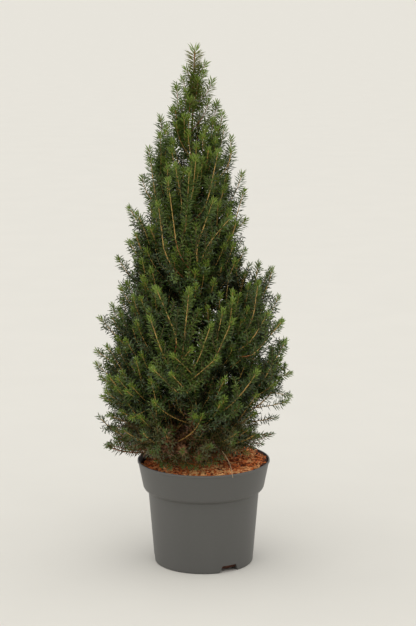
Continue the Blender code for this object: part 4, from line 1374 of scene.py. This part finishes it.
# It tilts outwards, and less so towards the tip of the shoot where the needles close up.
along = add_node(tree, "GeometryNodeSplineParameter", {})
closed = add_node(tree, "ShaderNodeMath", {0: along, 1: given["Closing"]}, operation="MULTIPLY")
opened = add_node(tree, "ShaderNodeMath", {0: lean, 1: closed}, operation="SUBTRACT")
tilt = add_node(tree, "ShaderNodeMath", {0: opened, 1: given["Tilt"]}, operation="MULTIPLY")
tilted = add_node(tree, "ShaderNodeCombineXYZ", {"Y": tilt})
tip_out = add_node(tree, "FunctionNodeEulerToRotation", {"Euler": tilted})
aimed = add_node(tree, "FunctionNodeRotateRotation", {"Rotation": turned, "Rotate By": tip_out},
                 rotation_space="LOCAL")
full = add_node(tree, "GeometryNodeInputNamedAttribute", {"Name": "full_length"}, data_type="FLOAT")
length = add_node(tree, "ShaderNodeMath", {0: growth, 1: full}, operation="MULTIPLY")
size = add_node(tree, "ShaderNodeCombineXYZ", {"X": given["Width"], "Y": given["Width"], "Z": length})
shape = add_node(tree, "GeometryNodeObjectInfo", {"Object": given["Needle"]})
placed = add_node(tree, "GeometryNodeInstanceOnPoints",
                  {"Points": spots, "Instance": shape.outputs["Geometry"], "Rotation": aimed,
                   "Scale": size})
needles_on_shoots = finish_tree(tree, given, placed)


def needle_lines(name, rows):
    """Open lines for needles, from rows of points, share of the parting and share of the length.

    Each point has the direction that faces out of the crown there, and its needles' length. The
    leader stands on the crown's own axis, so it faces the front.
    """
    lines = [row[0] for row in rows]
    parting = [[row[1] * between(PARTINGS, p.z) for p in row[0]] for row in rows]
    lengths = [[between(NEEDLE_LENGTHS, p.z) * row[2] for p in row[0]] for row in rows]
    mesh = lines_mesh(name, lines, parting=parting, full_length=lengths)
    sides = mesh.attributes.new("out_side", "FLOAT_VECTOR", "POINT")
    values = []
    for line in lines:
        for point in line:
            axis = trunk_axis(point.z)
            values += [point.x - axis.x, point.y - axis.y - LEADER_FACING, 0.0]
    sides.data.foreach_set("vector", values)
    return mesh


def tint_of(chance, spot):
    """The tint of a twig's needles: brown-green low down, darker inside the crown as painted shade, mixed
    outside.
    """
    depth = depth_below(spot)
    by_trunk = abs(spot.x - TRUNK_FOOT_X) < SHADED_OUT_WIDTH and spot.z < SHADED_OUT_BELOW
    if depth > DEAD_DEPTH and (by_trunk or spot.z < DEAD_BELOW):
        mix = DEAD_MIX
    elif chance.random() < LOW_SHARE * (1 - smooth_step(*LOW_FADE, spot.z)):
        return "low"
    elif spot.z > UPPER_FROM:
        mix = TOP_MIX if spot.z > TOP_FROM else UPPER_MIX
    elif spot.z > CREST_FROM and depth < CREST_DEPTH:
        mix = CREST_MIX
    # Painted shade: needles deep in the crown are dealt dark tints.
    elif depth > DARK_DEPTH:
        return "shade"
    else:
        mix = PAINTED_SHADE_MIX if depth > DUSK_DEPTH else OUTER_MIX
    return chance.choices(list(mix), list(mix.values()))[0]


green_rows = {tint: [] for tint in NEEDLE_TINTS}
tuft_rows = {tint: [] for tint in TUFT_TINTS}
for points, order, parting in twigs:
    last = len(points) - 1
    clothed = [k for k in range(last + 1) if depth_below(points[k]) < BARE_DEPTH]
    if not clothed or clothed[0] >= last:
        continue
    start = clothed[0] if order else max(clothed[0], round(BARE_LIMB / STEP))
    tint = tint_of(chance, points[(start + last) // 2]) if points[-1].z < LEADER_FROM else "lead"
    if order > 1:
        green_rows[tint].append((points[start:], parting, SIDE_NEEDLES))
        continue
    neck = max(start, last - round(NECK_LENGTH / STEP))
    tuft = last - round(TUFT_LENGTH / STEP)
    old = max(start, last - round(OLD_NEEDLES / STEP))
    if old > start:
        # Older needles darken, partly with age and partly as painted shade. Deep in the crown they take the
        # painted shade tint.
        shaded = tint in DARKER_WITH_AGE_AND_SHADE and depth_below(points[(start + old) // 2]) > SHADE_DEPTH
        older = "shade" if shaded else DARKER_WITH_AGE_AND_SHADE.get(tint, tint)
        green_rows[older].append((points[start:old + 1], parting, 1.0))
    if neck > old:
        green_rows[tint].append((points[old:neck + 1], parting, 1.0))
    # Painted light: tips near the surface, and not low down, get the bright tuft and a lighter neck. The
    # rest get a darker tuft, which is painted shade.
    bright = depth_below(points[-1]) < BRIGHT_DEPTH and points[-1].z >= DULL_BELOW
    if neck < tuft:
        kept = tint in ("top", "lead") or not bright
        green_rows[tint if kept else "neck"].append((points[neck:tuft + 1], 0.0, 1.0))
    tuft_rows["bright" if bright else "fresh"].append((points[tuft:], 0.0, TUFT_NEEDLES))

foliage = [f"foliage_{limb.index + 1:02d}" for limb in limbs[:-1]] + ["leader_foliage"]
for part, tints, rows, tilt, closing in (("needle", NEEDLE_TINTS, green_rows, NEEDLE_TILT, 0.0),
                                         ("tuft", TUFT_TINTS, tuft_rows, TUFT_TILT, TUFT_CLOSING)):
    for tint, (colour, spacing_mm, width_mm, seed, roughness, ior) in tints.items():
        # Living spruce needles: a waxy skin with a soft shine.
        wax = new_material(f"spruce_{part}_{tint}", colour, roughness, ior)
        shape = thorn if tint == "shade" else needle
        spacing, width = spacing_mm / 1000, width_mm / 1000
        metres = sum(length_of(row[0]) for row in rows[tint])
        # As many pieces as keep each under the most triangles.
        count = math.ceil(metres / spacing * len(shape.data.polygons) / MOST_TRIANGLES)
        for k in range(count):
            needles = grown(f"{part}s_{tint}_{k + 1}", needle_lines(part, rows[tint][k::count]),
                            needles_on_shoots, {"Spacing": spacing, "Width": width, "Tilt": tilt,
                                                "Closing": closing, "Seed": seed + k, "Needle": shape}, wax)
            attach(needles, "root")
            if tint == "mid" and k == 0:
                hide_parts(*foliage)
bpy.data.objects.remove(needle)
bpy.data.objects.remove(thorn)
